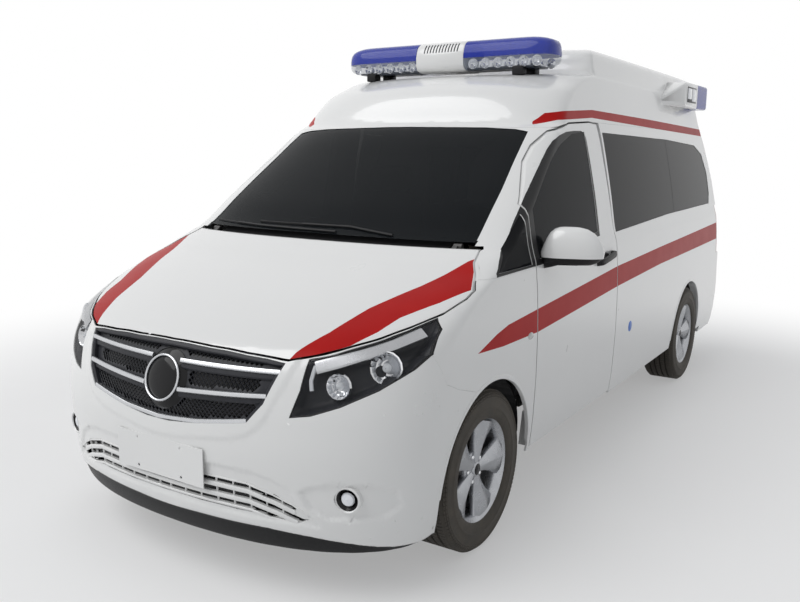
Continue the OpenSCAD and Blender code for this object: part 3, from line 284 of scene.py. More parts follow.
# %% The finishes of this van
PAINT = finish("white paint", (0.80, 0.80, 0.79), 0.28, (0.786, 0.786, 0.778),
               coat=0.7, scale=3, rough_range=0.02)
FILM = finish("red film", (0.46, 0.010, 0.009), 0.34, (0.40, 0.008, 0.008), scale=8, gloss=0.08)
PANE = finish("tinted glass", (0.010, 0.012, 0.014), 0.04, (0.014, 0.016, 0.018),
              scale=2, rough_range=0.02, alpha=0.80, gloss=0.05)
DARK_PANE = finish("dark glass", (0.008, 0.009, 0.010), 0.05, (0.012, 0.012, 0.014),
                   scale=2, rough_range=0.02, alpha=0.92, gloss=0.05)
CLEAR = finish("clear cover", (0.020, 0.022, 0.026), 0.03, (0.026, 0.028, 0.032),
               scale=4, rough_range=0.02, alpha=0.20)
BLACK = finish("black plastic", (0.009, 0.009, 0.010), 0.42, (0.016, 0.016, 0.017),
               scale=60, bump=0.25, bump_size=0.002, gloss=0.20)
GLOSS_BLACK = finish("black gloss", (0.008, 0.008, 0.009), 0.10, (0.012, 0.012, 0.013),
                     scale=10, gloss=0.22)
GREY = finish("grille grey", (0.024, 0.025, 0.030), 0.36, (0.034, 0.035, 0.041),
              scale=50, bump=0.1, bump_size=0.002, gloss=0.2)
CHROME = finish("chrome", (0.82, 0.83, 0.85), 0.07, (0.74, 0.75, 0.77),
                metal=1.0, scale=20, rough_range=0.05)
SATIN = finish("satin silver", (0.60, 0.61, 0.63), 0.26, (0.54, 0.55, 0.57), metal=0.9, scale=30)
ALLOY = finish("cast alloy", (0.44, 0.45, 0.47), 0.28, (0.37, 0.38, 0.40), metal=0.85, scale=25, bump=0.05)
IRON = finish("bare iron", (0.20, 0.19, 0.18), 0.50, (0.13, 0.11, 0.10),
              metal=0.8, scale=30, bump=0.3, bump_size=0.003)
STEEL = finish("dark steel", (0.050, 0.050, 0.052), 0.48, (0.075, 0.070, 0.066),
               metal=0.3, scale=18, bump=0.2)
RUBBER = finish("tyre rubber", (0.034, 0.030, 0.025), 0.72, (0.070, 0.060, 0.047),
                scale=22, bump=0.3, bump_size=0.002)
CLOTH = finish("seat cloth", (0.42, 0.38, 0.31), 0.85, (0.38, 0.34, 0.28),
               scale=250, contrast=1.0, bump=0.3, bump_size=0.002)
BLUE = finish("blue lens", (0.010, 0.035, 0.42), 0.10, (0.008, 0.028, 0.34),
              scale=60, alpha=0.86, gloss=0.30)
RED_LENS = finish("red lens", (0.42, 0.010, 0.012), 0.10, (0.34, 0.008, 0.010),
                  scale=90, alpha=0.92, gloss=0.30)
PALE_LENS = finish("pale lens", (0.60, 0.60, 0.58), 0.12, (0.52, 0.52, 0.50), coat=0.5, scale=90)
BLUE_DOT = finish("blue sticker", (0.02, 0.16, 0.62), 0.35, (0.02, 0.13, 0.55), scale=40)
SMOKE = finish("clear lower lens", (0.30, 0.34, 0.42), 0.06, (0.24, 0.28, 0.36),
               coat=0.6, scale=60, alpha=0.32)
BULB = finish("lamp glass", (0.90, 0.92, 0.95), 0.06, (0.80, 0.82, 0.86),
              coat=0.5, scale=120, bump=0.2, bump_size=0.004)
print("finishes", len(bpy.data.materials))

# %% [markdown]
# ## Making pieces
# Every piece ends the same way: its mesh becomes an object at the origin, rides on the body that carries
# it, and hides the CAD nodes that it stands for, if any. Smooth shading with sharp edges beyond an angle
# suits most hard parts.

# %% Helpers for pieces
SHARP = math.radians(35)


def mesh_of(name, bm, materials):
    """A smooth mesh of a bmesh, with its materials."""
    mesh = bpy.data.meshes.new(name)
    bm.to_mesh(mesh)
    bm.free()
    for material in materials:
        mesh.materials.append(material)
    mesh.shade_smooth()
    return mesh


def handed_over(name, mesh, body, replaces):
    """The object of a finished mesh, riding on its body in place of the CAD nodes that it stands for."""
    obj = bpy.data.objects.new(name, mesh)
    bpy.context.scene.collection.objects.link(obj)
    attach(obj, body)
    if replaces:
        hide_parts(*replaces)
    print(name, len(mesh.polygons))
    return obj


def piece(name, bm, body, materials, replaces=(), sharp=SHARP):
    """A piece with sharp edges beyond an angle."""
    mesh = mesh_of(name, bm, materials)
    mesh.set_sharp_from_angle(angle=sharp)
    return handed_over(name, mesh, body, replaces)


def mirrored(bm):
    """The same shape on the other side of the van."""
    bmesh.ops.scale(bm, vec=(1, -1, 1), verts=bm.verts)
    bmesh.ops.reverse_faces(bm, faces=bm.faces)
    return bm


def joined(*parts):
    """One bmesh of several, with each part's material indices kept."""
    whole = bmesh.new()
    for part in parts:
        mesh = bpy.data.meshes.new("joining")
        part.to_mesh(mesh)
        part.free()
        whole.from_mesh(mesh)
        bpy.data.meshes.remove(mesh)
    return whole


def painted(bm, index):
    """The same shape, all in one of its piece's materials."""
    for face in bm.faces:
        face.material_index = index
    return bm


def box_bm(low, high, bevel):
    """A block between two corners with its edges rounded."""
    bm = bmesh.new()
    bmesh.ops.create_cube(bm, size=1)
    low, high = Vector(low), Vector(high)
    bmesh.ops.scale(bm, vec=high - low, verts=bm.verts)
    bmesh.ops.translate(bm, vec=(low + high) / 2, verts=bm.verts)
    bmesh.ops.bevel(bm, geom=bm.edges[:], offset=bevel, segments=2, profile=0.5, affect="EDGES", material=-1)
    return bm


def spun(profile, steps):
    """A profile of (radius, height) turned round the Z axis and closed."""
    bm = bmesh.new()
    verts = [bm.verts.new((r, 0, h)) for r, h in profile]
    edges = [bm.edges.new(pair) for pair in zip(verts, verts[1:])]
    bmesh.ops.spin(bm, geom=verts + edges, cent=(0, 0, 0), axis=(0, 0, 1), angle=math.tau, steps=steps,
                   use_merge=True)
    bmesh.ops.remove_doubles(bm, verts=bm.verts, dist=1e-6)
    bmesh.ops.recalc_face_normals(bm, faces=bm.faces)
    return bm


def aimed(bm, place, direction):
    """Turns a shape so that its Z axis points along a direction, and moves it to a place."""
    z = Vector(direction).normalized()
    x = Vector((0, 0, 1)).cross(z).normalized()
    y = z.cross(x)
    turn = Matrix((x, y, z)).transposed().to_4x4()
    bmesh.ops.transform(bm, matrix=Matrix.Translation(place) @ turn, verts=bm.verts)
    return bm


def turned(profile, steps, place, direction, index):
    """A turned shape at a place, pointing along a direction, in one of its piece's materials."""
    return painted(aimed(spun(profile, steps), place, direction), index)


def lofted(rings):
    """A skin over rings of points, each bridged to the next, with its ends closed."""
    bm = bmesh.new()
    loops = []
    for ring_points in rings:
        verts = [bm.verts.new(p) for p in ring_points]
        loops.append([bm.edges.new(pair) for pair in zip(verts, verts[1:] + verts[:1])])
        if ring_points is rings[0] or ring_points is rings[-1]:
            bm.faces.new(verts)
    for first, second in zip(loops, loops[1:]):
        bmesh.ops.bridge_loops(bm, edges=first + second)
    bmesh.ops.recalc_face_normals(bm, faces=bm.faces)
    return bm


def direction_at(points, i):
    """Direction of a path at one of its points, from the point before it to the point after."""
    return (Vector(points[min(i + 1, len(points) - 1)]) - Vector(points[max(i - 1, 0)])).normalized()


def ribbon(points, ups, profile):
    """A bar of one cross-section along a path; the profile is drawn as (across, up)."""
    rings = []
    for i, (point, up) in enumerate(zip(points, ups)):
        along = direction_at(points, i)
        across = along.cross(up).normalized()
        lift = across.cross(along)
        rings.append([Vector(point) + across * a + lift * b for a, b in profile])
    return lofted(rings)


def bar_profile(width, height, sink):
    """Cross-section of a bar with rounded upper corners."""
    half = width / 2
    return [(-half, -sink), (-half, height * 0.55), (-half * 0.72, height * 0.92), (0, height),
            (half * 0.72, height * 0.92), (half, height * 0.55), (half, -sink)]


def front_path(spots, inset, steps):
    """Points and normals of the front skin along a polyline of (distance from the middle, height)."""
    places = []
    for (y0, z0), (y1, z1) in zip(spots, spots[1:]):
        count = max(2, int(math.hypot(y1 - y0, z1 - z0) * steps))
        places += [front_place(y0 + (y1 - y0) * k / count, z0 + (z1 - z0) * k / count, inset)
                   for k in range(count)]
    places.append(front_place(*spots[-1], inset))
    return list(zip(*places))


def front_bar(spots, inset, section, steps=40):
    """A bar along the front skin; its section is width, height and how far it sinks in."""
    return ribbon(*front_path(spots, inset, steps), bar_profile(*section))


def on_side(spots, side):
    """Spots of the left half, on the left (1) or mirrored to the right (-1)."""
    return [(side * y, z) for y, z in spots]


# %% [markdown]
# ## Smooth painted panels
# A copy of each CAD panel is merged, its outer faces are found by asking the form, long edges there are
# split, and the new points are set down on the smooth form. Outer faces take the form's own normals, so
# light runs over the seams from panel to panel without a break, while inner faces and cut edges stay flat.

# %% Helpers for panels
SKIN_REACH, CORNER_REACH = 0.0075, 0.018
SKIN_DOT = 0.9
PROUD = 0.003
ROUND_NODES = ("roof", "front_bumper", "side_left", "side_right", "rear_bumper")
WHOLE_ROUND = ("roof", "front_bumper")
REAR_ROUND_X = -0.86 * HALF_LEN
MERGE = 1e-5
SPLIT_ROUNDS = 7


def node_bm(node):
    """A merged copy of a CAD node's mesh."""
    bm = bmesh.new()
    bm.from_mesh(nodes[node].data)
    bmesh.ops.remove_doubles(bm, verts=bm.verts, dist=MERGE)
    return bm


def panel_bm(node, inset=0.0, size=0.05, only_skin=False):
    """A CAD panel whose outer faces are marked, split and set on the smooth form."""
    bm = node_bm(node)
    bmesh.ops.dissolve_degenerate(bm, edges=bm.edges, dist=MERGE)
    bmesh.ops.triangulate(bm, faces=bm.faces)
    skin = bm.faces.layers.int.new("skin")
    for face in bm.faces:
        face.material_index = 0
        middle = face.calc_center_median()
        _, normal, distance = on_form(middle)
        rounded = node in ROUND_NODES and (node in WHOLE_ROUND or middle.x < REAR_ROUND_X)
        reach = (CORNER_REACH if rounded else SKIN_REACH) + inset
        face[skin] = int(distance < reach and normal.dot(face.normal) > SKIN_DOT)
    if only_skin:
        bmesh.ops.delete(bm, geom=[f for f in bm.faces if not f[skin]], context="FACES")
    for _ in range(SPLIT_ROUNDS):
        long = list({e for f in bm.faces if f[skin] for e in f.edges if e.calc_length() > size})
        if not long:
            break
        bmesh.ops.subdivide_edges(bm, edges=long, cuts=1)
        bmesh.ops.triangulate(bm, faces=[f for f in bm.faces if len(f.verts) > 3])
    for vert in {v for f in bm.faces if f[skin] for v in f.verts}:
        place, normal, _ = on_form(vert.co)
        vert.co = place - normal * inset
    bm.normal_update()
    return bm


def unmarked(bm):
    """The same shape without the mark on its outer faces."""
    bm.faces.layers.int.remove(bm.faces.layers.int["skin"])
    return bm


def drop_proud(bm):
    """Takes off what stands proud of the form, where a finer piece takes its place."""
    proud = []
    for face in bm.faces:
        middle = face.calc_center_median()
        place, normal, _ = on_form(middle)
        if (middle - place).dot(normal) > PROUD:
            proud.append(face)
    bmesh.ops.delete(bm, geom=proud, context="FACES")


def inside(outline, a, b):
    """Whether a point is in a closed outline."""
    hit = False
    for (a0, b0), (a1, b1) in zip(outline, outline[1:] + outline[:1]):
        if (b0 > b) != (b1 > b) and a < a0 + (b - b0) * (a1 - a0) / (b1 - b0):
            hit = not hit
    return hit


def paint_outline(bm, outline, axes, index, margin=0.03):
    """Cuts the skin along an outline on two axes (0 is X, 1 is Y, 2 is Z) and paints what is inside it."""
    skin = bm.faces.layers.int["skin"]
    first, second = axes
    through = Vector([0, 0, 0])
    through[3 - first - second] = 1
    for side in (1, -1) if 1 in axes else (1,):
        flip = Vector((1, side, 1))
        for (a0, b0), (a1, b1) in zip(outline, outline[1:] + outline[:1]):
            start, end = Vector((0, 0, 0)), Vector((0, 0, 0))
            start[first], start[second], end[first], end[second] = a0, b0, a1, b1
            start, end = start * flip, end * flip
            low = [min(start[k], end[k]) - margin for k in axes]
            high = [max(start[k], end[k]) + margin for k in axes]
            near = [f for f in bm.faces if f[skin] and any(
                all(lo < v.co[k] < hi for k, lo, hi in zip(axes, low, high)) for v in f.verts)]
            geom = list({v for f in near for v in f.verts}) + list({e for f in near for e in f.edges}) + near
            if near:
                bmesh.ops.bisect_plane(bm, geom=geom, dist=1e-6, plane_co=start,
                                       plane_no=(end - start).cross(through))
    bmesh.ops.triangulate(bm, faces=[f for f in bm.faces if len(f.verts) > 4])
    for face in bm.faces:
        middle = face.calc_center_median()
        spot = [abs(middle[k]) if k == 1 else middle[k] for k in axes]
        if face[skin] and inside(outline, *spot):
            face.material_index = index


def skin_piece(name, bm, body, materials, replaces=()):
    """A piece whose outer faces take the form's normals."""
    mesh = mesh_of(name, bm, materials)
    mark = np.zeros(len(mesh.polygons), np.int32)
    mesh.attributes["skin"].data.foreach_get("value", mark)
    normals = [None] * len(mesh.loops)
    known = {}
    for polygon in mesh.polygons:
        for loop in polygon.loop_indices:
            vertex = mesh.loops[loop].vertex_index
            if mark[polygon.index]:
                if vertex not in known:
                    known[vertex] = on_form(mesh.vertices[vertex].co)[1]
                normals[loop] = known[vertex]
            else:
                normals[loop] = polygon.normal.copy()
    mesh.attributes.remove(mesh.attributes["skin"])
    mesh.normals_split_custom_set(normals)
    return handed_over(name, mesh, body, replaces)


# %% [markdown]
# ## Stripes and window trim
# The red stripes are film laid on the paint: one along the sides that rises to the back and ends in a point
# ahead of the door, one along the foot of the raised roof, and a swoosh over each headlamp. The side
# windows of the cab sit in one black field that runs over door and pillar. Each is an outline; the panels
# are cut along it and the faces inside get the film or the black, so the edges stay crisp on every panel
# that an outline crosses.

# %% Outlines of stripes and trim: station and height, and on the bonnet station and distance from the middle
SIDE_STRIPE = [(1.821, 0.870), (1.657, 0.917), (1.550, 0.938), (1.252, 0.958), (0.154, 1.028),
               (-0.687, 1.056), (-2.470, 1.104), (-2.470, 0.974), (-0.690, 0.947), (0.151, 0.916),
               (1.250, 0.854), (1.600, 0.857)]
ROOF_STRIPE = [(0.790, 1.773), (0.708, 1.831), (0.625, 1.843), (0.223, 1.867), (-0.859, 1.855),
               (-2.300, 1.832), (-2.300, 1.779), (-0.821, 1.803), (0.248, 1.824), (0.688, 1.797)]
WINDOW_TRIM = [(1.640, 1.143), (1.631, 1.157), (1.570, 1.199), (1.479, 1.245), (1.402, 1.296),
               (1.316, 1.363), (1.214, 1.438), (1.065, 1.543), (0.906, 1.652), (0.837, 1.693),
               (0.762, 1.721), (0.665, 1.740), (0.554, 1.748), (0.458, 1.750), (0.421, 1.742),
               (0.404, 1.715), (0.396, 1.577), (0.389, 1.268), (0.396, 1.213), (1.191, 1.148)]
HOOD_STRIPE = [(2.440, 0.520), (2.271, 0.594), (2.090, 0.643), (1.883, 0.735), (1.640, 0.818),
               (1.612, 0.834), (1.800, 0.915), (1.940, 0.859), (2.092, 0.779), (2.195, 0.752),
               (2.300, 0.700), (2.400, 0.600)]

# %% Painted panels
PANELS = ["roof", "fender_left", "fender_right", "pillar_left", "pillar_right", "side_left", "side_right",
          "sliding_door_right", "rear_bumper", "door_left", "door_right", "hood", "tailgate"]
ALONG_SIDE, FROM_ABOVE, FROM_FRONT = (0, 2), (0, 1), (1, 2)
for node in PANELS:
    bm = panel_bm(node)
    if node in ("door_left", "door_right", "sliding_door_right"):
        drop_proud(bm)
    if node == "hood":
        paint_outline(bm, HOOD_STRIPE, FROM_ABOVE, 1)
    elif node not in ("rear_bumper", "tailgate"):
        paint_outline(bm, SIDE_STRIPE, ALONG_SIDE, 1)
        paint_outline(bm, ROOF_STRIPE, ALONG_SIDE, 1)
    if node in ("door_left", "door_right", "pillar_left", "pillar_right"):
        paint_outline(bm, WINDOW_TRIM, ALONG_SIDE, 2)
    skin_piece(node + "_panel", bm, body_of[node], [PAINT, FILM, BLACK], [node])

# %% [markdown]
# ## Gutters beside the bonnet
# A bonnet closes over painted metal. At its rear corners the gap is wide enough to look into, so a narrow
# strip in body colour lies under the gap there. It is lofted through a few sections along the corner, which
# is simpler than cutting and folding the wing's own edge, and mirrored for the other side.

# %% Gutters: the bonnet's rear corner as (distance from the middle, height)
HOOD_CORNER = [(0.892, 1.139), (0.878, 1.156), (0.858, 1.175), (0.838, 1.195), (0.824, 1.216),
               (0.812, 1.237)]
# edges of the strip, measured from that corner, then its depth below the skin and its thickness
GUTTER_NEAR, GUTTER_FAR, GUTTER_TOP, GUTTER_T = 0.004, 0.015, 0.007, 0.003
GUTTER_FOOT = GUTTER_TOP + GUTTER_T


def gutter_bm():
    """The strip at the bonnet's left rear corner."""
    rings = []
    for i, spot in enumerate(HOOD_CORNER):
        along = direction_at(HOOD_CORNER, i)
        away = Vector((along.y, -along.x))
        near, far = Vector(spot) + away * GUTTER_NEAR, Vector(spot) + away * GUTTER_FAR
        corners = ((near, GUTTER_TOP), (far, GUTTER_TOP), (far, GUTTER_FOOT), (near, GUTTER_FOOT))
        rings.append([front_place(*edge, deep)[0] for edge, deep in corners])
    return lofted(rings)


gutters = joined(gutter_bm(), mirrored(gutter_bm()))
piece("hood_gutters", gutters, body_of["fender_left"], [PAINT])

# %% [markdown]
# ## Glass
# The panes are set a little below the paint and go through the same steps as the panels, because flat
# facets would break up what they mirror. Windscreen and door glass are tinted, so the seats show faintly
# behind them, and the other panes are nearly black.

# %% Panes
GLASS_INSET = 0.003
for node, material in (("windscreen", PANE), ("side_glass", DARK_PANE), ("door_glass_left", PANE),
                       ("door_glass_right", PANE), ("tailgate_glass", DARK_PANE)):
    skin_piece(node + "_pane", panel_bm(node, GLASS_INSET), body_of[node], [material], [node])

# %% [markdown]
# ## Front bumper
# The bumper is one moulding with soft steps in it: a raised field round the grille, a sunk one round the
# lower intake, and a shallow field round each fog lamp. The smooth skin is split finely and pushed in or
# out by a few millimetres inside each outline, with a short ramp, so the steps are real shape. The lowest
# band is sunk too and painted black as painted shade, for the shadow under the bumper. The skin is then
# extruded inwards, which gives the moulding its wall.

# %% Outlines of the bumper's fields, as (distance from the middle, height)
GRILLE_FIELD = [(-0.02, 0.577), (0.013, 0.577), (0.116, 0.586), (0.220, 0.600), (0.347, 0.617),
                (0.410, 0.638), (0.455, 0.669), (0.489, 0.713), (0.540, 0.830), (0.590, 0.990),
                (-0.02, 0.990)]
INTAKE_FIELD = [(-0.02, 0.510), (0.240, 0.508), (0.435, 0.502), (0.514, 0.483), (0.572, 0.452),
                (0.640, 0.360), (0.668, 0.318), (0.560, 0.325), (-0.02, 0.335)]
FOG_FIELD = [(0.610, 0.452), (0.650, 0.470), (0.743, 0.486), (0.840, 0.480), (0.893, 0.455), (0.905, 0.395),
             (0.860, 0.355), (0.700, 0.350), (0.640, 0.385)]
PAINTED_SHADE_BAND = [(-0.02, 0.286), (0.200, 0.290), (0.476, 0.290), (0.629, 0.276), (0.760, 0.252), (0.860, 0.225),
           (0.990, 0.190), (0.990, 0.100), (-0.02, 0.100)]
# outline, how far its field stands out of the skin, width of the ramp along its edge
BUMPER_FIELDS = ((GRILLE_FIELD, 0.004, 0.014), (INTAKE_FIELD, -0.007, 0.014), (FOG_FIELD, -0.010, 0.014),
                 (PAINTED_SHADE_BAND, -0.007, 0.006))
FIELDS_FROM_X = 0.8 * HALF_LEN
BUMPER_T = 0.006


def outline_gap(outline, a, b):
    """Distance from a point to an outline, positive inside it."""
    p = np.array([a, b])
    start = np.array(outline)
    along = np.roll(start, -1, 0) - start
    t = np.clip(((p - start) * along).sum(1) / (along ** 2).sum(1), 0, 1)
    gap = np.linalg.norm(start + along * t[:, None] - p, axis=1).min()
    return gap if inside(outline, a, b) else -gap


def step_share(gap, ramp):
    """How far up a soft step a point is, from 0 outside to 1 inside."""
    t = min(max(gap / ramp + 0.5, 0.0), 1.0)
    return t * t * (3 - 2 * t)


bumper_bm = panel_bm("front_bumper", size=0.016, only_skin=True)
# the lowest band is painted black: painted shade, standing for the shadow under the bumper
paint_outline(bumper_bm, PAINTED_SHADE_BAND, FROM_FRONT, 1, margin=0.02)
for vert in bumper_bm.verts:
    _, normal, _ = on_form(vert.co)
    y, z = abs(vert.co.y), vert.co.z
    if vert.co.x > FIELDS_FROM_X:
        vert.co += normal * sum(rise * step_share(outline_gap(outline, y, z), ramp)
                                for outline, rise, ramp in BUMPER_FIELDS)
unmarked(bumper_bm)
back_skin = bmesh.ops.extrude_face_region(bumper_bm, geom=bumper_bm.faces[:], use_keep_orig=True)
for vert in (g for g in back_skin["geom"] if isinstance(g, bmesh.types.BMVert)):
    vert.co -= on_form(vert.co)[1] * BUMPER_T
bmesh.ops.recalc_face_normals(bumper_bm, faces=bumper_bm.faces)
piece("front_bumper_panel", bumper_bm, "body", [PAINT, BLACK], ["front_bumper"])

# %% [markdown]
# ## Grille
# The grille is a dark perforated sheet set back in the bumper, with two silver bars on each side of a round
# disc and a silver edge along its foot. The holes are real: a grid is laid on the front skin, each cell is
# inset, and the inner face is removed in front of a black back sheet, so they stay dark from any side,
# which a pattern in the material would not. The disc is plain and domed, in a bright ring.

# %% Perforated sheet and back: outline as (distance from the middle, height)
GRILLE_OUTLINE = [(0.0, 0.640), (0.190, 0.652), (0.415, 0.685), (0.472, 0.756), (0.500, 0.834),
                  (0.520, 0.894), (0.450, 0.903), (0.275, 0.912), (0.0, 0.916)]
GRILLE_LOOP = GRILLE_OUTLINE + on_side(GRILLE_OUTLINE[-2:0:-1], -1)
# distance from the middle and height of each bar's inner end and outer end
GRILLE_BARS = ((0.076, 0.862, 0.512, 0.868), (0.091, 0.760, 0.480, 0.784))
DISC_Z, DISC_R = 0.790, 0.086
SHEET_INSET, SHEET_MARGIN, SHEET_TURN = 0.020, -0.006, math.radians(45)
BACK_INSET, BACK_MARGIN, BACK_CELL = 0.034, -0.03, 0.04
HOLE_CELL, HOLE_WALL, HOLE_SINK = 0.0145, 0.0026, 0.002
# how far out the holes reach, and how far they keep from the edge, the disc and the bars
HOLE_REACH, EDGE_CLEAR, DISC_CLEAR, BELOW_BAR, ABOVE_BAR = 0.43, 0.014, 0.118, -0.031, 0.013
SHEET_SHARP = math.radians(60)


def facing_front(bm):
    """The same sheet with its faces turned to the front."""
    bmesh.ops.recalc_face_normals(bm, faces=bm.faces)
    if sum(f.normal.x for f in bm.faces) < 0:
        bmesh.ops.reverse_faces(bm, faces=bm.faces)
    return bm


def front_sheet(outline, cell, inset, margin, turn=0.0):
    """A grid of cells, turned by an angle, laid on the front skin inside an outline."""
    bm = bmesh.new()
    ys, zs = zip(*outline)
    half = max(max(ys) - min(ys), max(zs) - min(zs)) * (1 if turn else 0.5)
    bmesh.ops.create_grid(bm, x_segments=int(2 * half / cell), y_segments=int(2 * half / cell), size=half)
    bmesh.ops.rotate(bm, cent=(0, 0, 0), matrix=Matrix.Rotation(turn, 3, "Z"), verts=bm.verts)
    for vert in bm.verts:
        vert.co = Vector((0, (min(ys) + max(ys)) / 2 + vert.co.x, (min(zs) + max(zs)) / 2 + vert.co.y))
    out = [f for f in bm.faces if outline_gap(outline, *f.calc_center_median().yz) < margin]
    bmesh.ops.delete(bm, geom=out, context="FACES")
    for vert in bm.verts:
        vert.co = front_place(vert.co.y, vert.co.z, inset)[0]
    return facing_front(bm)


def holed(face):
    """Whether a cell of the sheet gets a hole."""
    _, y, z = face.calc_center_median()
    heights = [z - np.interp(abs(y), (y0, y1), (z0, z1)) for y0, z0, y1, z1 in GRILLE_BARS]
    near_bar = any(BELOW_BAR < height < ABOVE_BAR for height in heights)
    clear = outline_gap(GRILLE_LOOP, y, z) > EDGE_CLEAR and math.hypot(y, z - DISC_Z) > DISC_CLEAR
    return clear and not near_bar and abs(y) < HOLE_REACH


sheet = front_sheet(GRILLE_LOOP, HOLE_CELL, SHEET_INSET, SHEET_MARGIN, SHEET_TURN)
holes = [f for f in sheet.faces if holed(f)]
bmesh.ops.inset_individual(sheet, faces=holes, thickness=HOLE_WALL, depth=-HOLE_SINK)
bmesh.ops.delete(sheet, geom=holes, context="FACES")
back = painted(front_sheet(GRILLE_LOOP, BACK_CELL, BACK_INSET, BACK_MARGIN), 1)
piece("grille_sheet", joined(sheet, back), "body", [GREY, GLOSS_BLACK], ["grille"],
      sharp=SHEET_SHARP)

# %% Frame, bars and disc: sections as width, height and how far they sink in
FRAME_SECTION, FOOT_SECTION = (0.026, 0.012, 0.014), (0.016, 0.008, 0.010)
GRILLE_BAR_SECTION, SHADE_SECTION = (0.019, 0.010, 0.004), (0.034, 0.012, 0.006)
FRAME_INSET, FOOT_INSET, GRILLE_BAR_INSET, DISC_INSET = 0.012, 0.004, 0.006, 0.004
FOOT_RISE, SHADE_DROP = 0.006, 0.012
# profiles of the disc and its ring, as (radius, height)
DISC_DOME = [(0.001, 0.012), (0.03, 0.011), (0.06, 0.008), (DISC_R - 0.008, 0.003), (DISC_R, -0.004),
             (DISC_R + 0.018, -0.012), (DISC_R + 0.03, -0.022)]
DISC_RING = [(DISC_R + 0.005 * math.cos(t), 0.004 + 0.006 * math.sin(t))
             for t in np.linspace(0, math.tau, 13)]
foot = [(y, z + FOOT_RISE) for y, z in GRILLE_OUTLINE[:3]]
parts = [painted(front_bar(GRILLE_LOOP + GRILLE_LOOP[:1], FRAME_INSET, FRAME_SECTION), 0),
         painted(front_bar(on_side(foot[:0:-1], -1) + foot, FOOT_INSET, FOOT_SECTION), 1)]
for y0, z0, y1, z1 in GRILLE_BARS:
    for side in (1, -1):
        bar = on_side([(y0, z0), (y1, z1)], side)
        # a grey strip on the sheet just below each bar is the bar's painted shadow
        shade = [(y, z - SHADE_DROP) for y, z in bar]
        parts.append(painted(front_bar(bar, GRILLE_BAR_INSET, GRILLE_BAR_SECTION), 1))
        parts.append(painted(front_bar(shade, SHEET_INSET, SHADE_SECTION), 0))
disc_place, disc_normal = front_place(0, DISC_Z, DISC_INSET)
parts.append(turned(DISC_DOME, 64, disc_place, disc_normal, 2))
parts.append(turned(DISC_RING, 64, disc_place, disc_normal, 1))
piece("grille_frame", joined(*parts), "body", [GREY, SATIN, GLOSS_BLACK])

# %% [markdown]
# ## Lower intake, fog lamps
# The lower intake is in body colour: two broad slats between two narrow lips, a pale piece that closes each
# end, and thin upright ribs, all in front of a dark back, so only narrow dark slots show. Slats, lips, ribs
# and end pieces are swept along the front skin, so they follow its curve. The back is a copy of the CAD
# piece without what stands ahead of it. A fog lamp is a lens in a dark bowl inside a ring in body colour,
# each turned from a profile of radius and height.

# %% Intake back: what of the CAD piece lies deep enough below the skin
INTAKE_BACK_DEEP = 0.0135
intake_bm = node_bm("intake_grille")
proud = [f for f in intake_bm.faces if on_form(f.calc_center_median())[2] < INTAKE_BACK_DEEP]
bmesh.ops.delete(intake_bm, geom=proud, context="FACES")
piece("intake_back", intake_bm, "body", [GLOSS_BLACK], ["intake_grille"])

# %% Intake slats, ribs and ends
INTAKE_TOP = [(0.0, 0.463), (0.300, 0.462), (0.405, 0.4585), (0.510, 0.430), (0.580, 0.400), (0.630, 0.366)]
INTAKE_END = [(0.588, 0.375), (0.618, 0.362), (0.646, 0.351)]
INTAKE_FOOT, ROW_SPREAD = 0.350, 0.25
# drop below the upper edge, height of the slat, points left off at each end
INTAKE_ROWS = ((0.003, 0.007, 0), (0.034, 0.018, 1), (0.074, 0.018, 1), (0.107, 0.010, 1))
SLAT_RISE, SLAT_SINK = 0.005, 0.010
RIB_PLACES = (0.03, 0.11, 0.19, 0.27, 0.345, 0.415, 0.48, 0.54)
RIB_SECTION, END_SECTION = (0.005, 0.003, 0.006), (0.040, 0.003, 0.004)
SLAT_INSET, RIB_INSET, END_INSET = 0.009, 0.015, 0.012


def intake_row(drop):
    """One row across the intake, a set distance below its upper edge, bending down at its ends."""
    left = [(y * (1 + ROW_SPREAD * drop), z - drop) for y, z in INTAKE_TOP]
    return on_side(left[:0:-1], -1) + left


parts = []
for drop, tall, skip in INTAKE_ROWS:
    row = intake_row(drop)
    parts.append(front_bar(row[skip:len(row) - skip], SLAT_INSET, (tall, SLAT_RISE, SLAT_SINK), 30))
for y in RIB_PLACES:
    top = np.interp(y, *zip(*INTAKE_TOP))
    for side in (1, -1):
        rib = on_side([(y, top - 0.001), (y, INTAKE_FOOT)], side)
        parts.append(front_bar(rib, RIB_INSET, RIB_SECTION, 60))
for side in (1, -1):
    parts.append(front_bar(on_side(INTAKE_END, side), END_INSET, END_SECTION, 60))
piece("intake_slats", joined(*parts), "body", [PAINT])

# %% Fog lamps: profiles as (radius, height)
FOG_Y, FOG_Z, FOG_R = 0.762, 0.427, 0.041
FOG_INSET, FOG_AHEAD = 0.012, Vector((1.2, 0, 0))
FOG_LENS = [(0.001, 0.006), (0.014, 0.005), (0.022, 0.002), (0.026, -0.004)]
FOG_BOWL = [(0.026, -0.004), (0.027, -0.010), (0.034, -0.006), (FOG_R, 0.004), (FOG_R + 0.002, -0.03)]
FOG_BEZEL = [(FOG_R - 0.001, -0.02), (FOG_R, 0.005), (FOG_R + 0.004, 0.009), (FOG_R + 0.010, 0.006),
             (FOG_R + 0.012, -0.02)]
parts = []
for side in (1, -1):
    place, normal = front_place(side * FOG_Y, FOG_Z, FOG_INSET)
    aim = (normal + FOG_AHEAD).normalized()
    for profile, index in ((FOG_LENS, 1), (FOG_BOWL, 0), (FOG_BEZEL, 2)):
        parts.append(turned(profile, 40, place, aim, index))
piece("fog_lamp_rings", joined(*parts), "body", [GLOSS_BLACK, BULB, PAINT], ["fog_lamps"])

# %% [markdown]
# ## Headlamps
# A headlamp is a clear cover flush with the body over a dark grey bowl, with two bright reflectors, a pale
# band along its upper edge and a short bright strip on its inner side. The cover is the CAD lamp's own
# outer skin; the bowl is the same skin pushed in, deeper away from its edge, so both keep the lamp's
# outline.

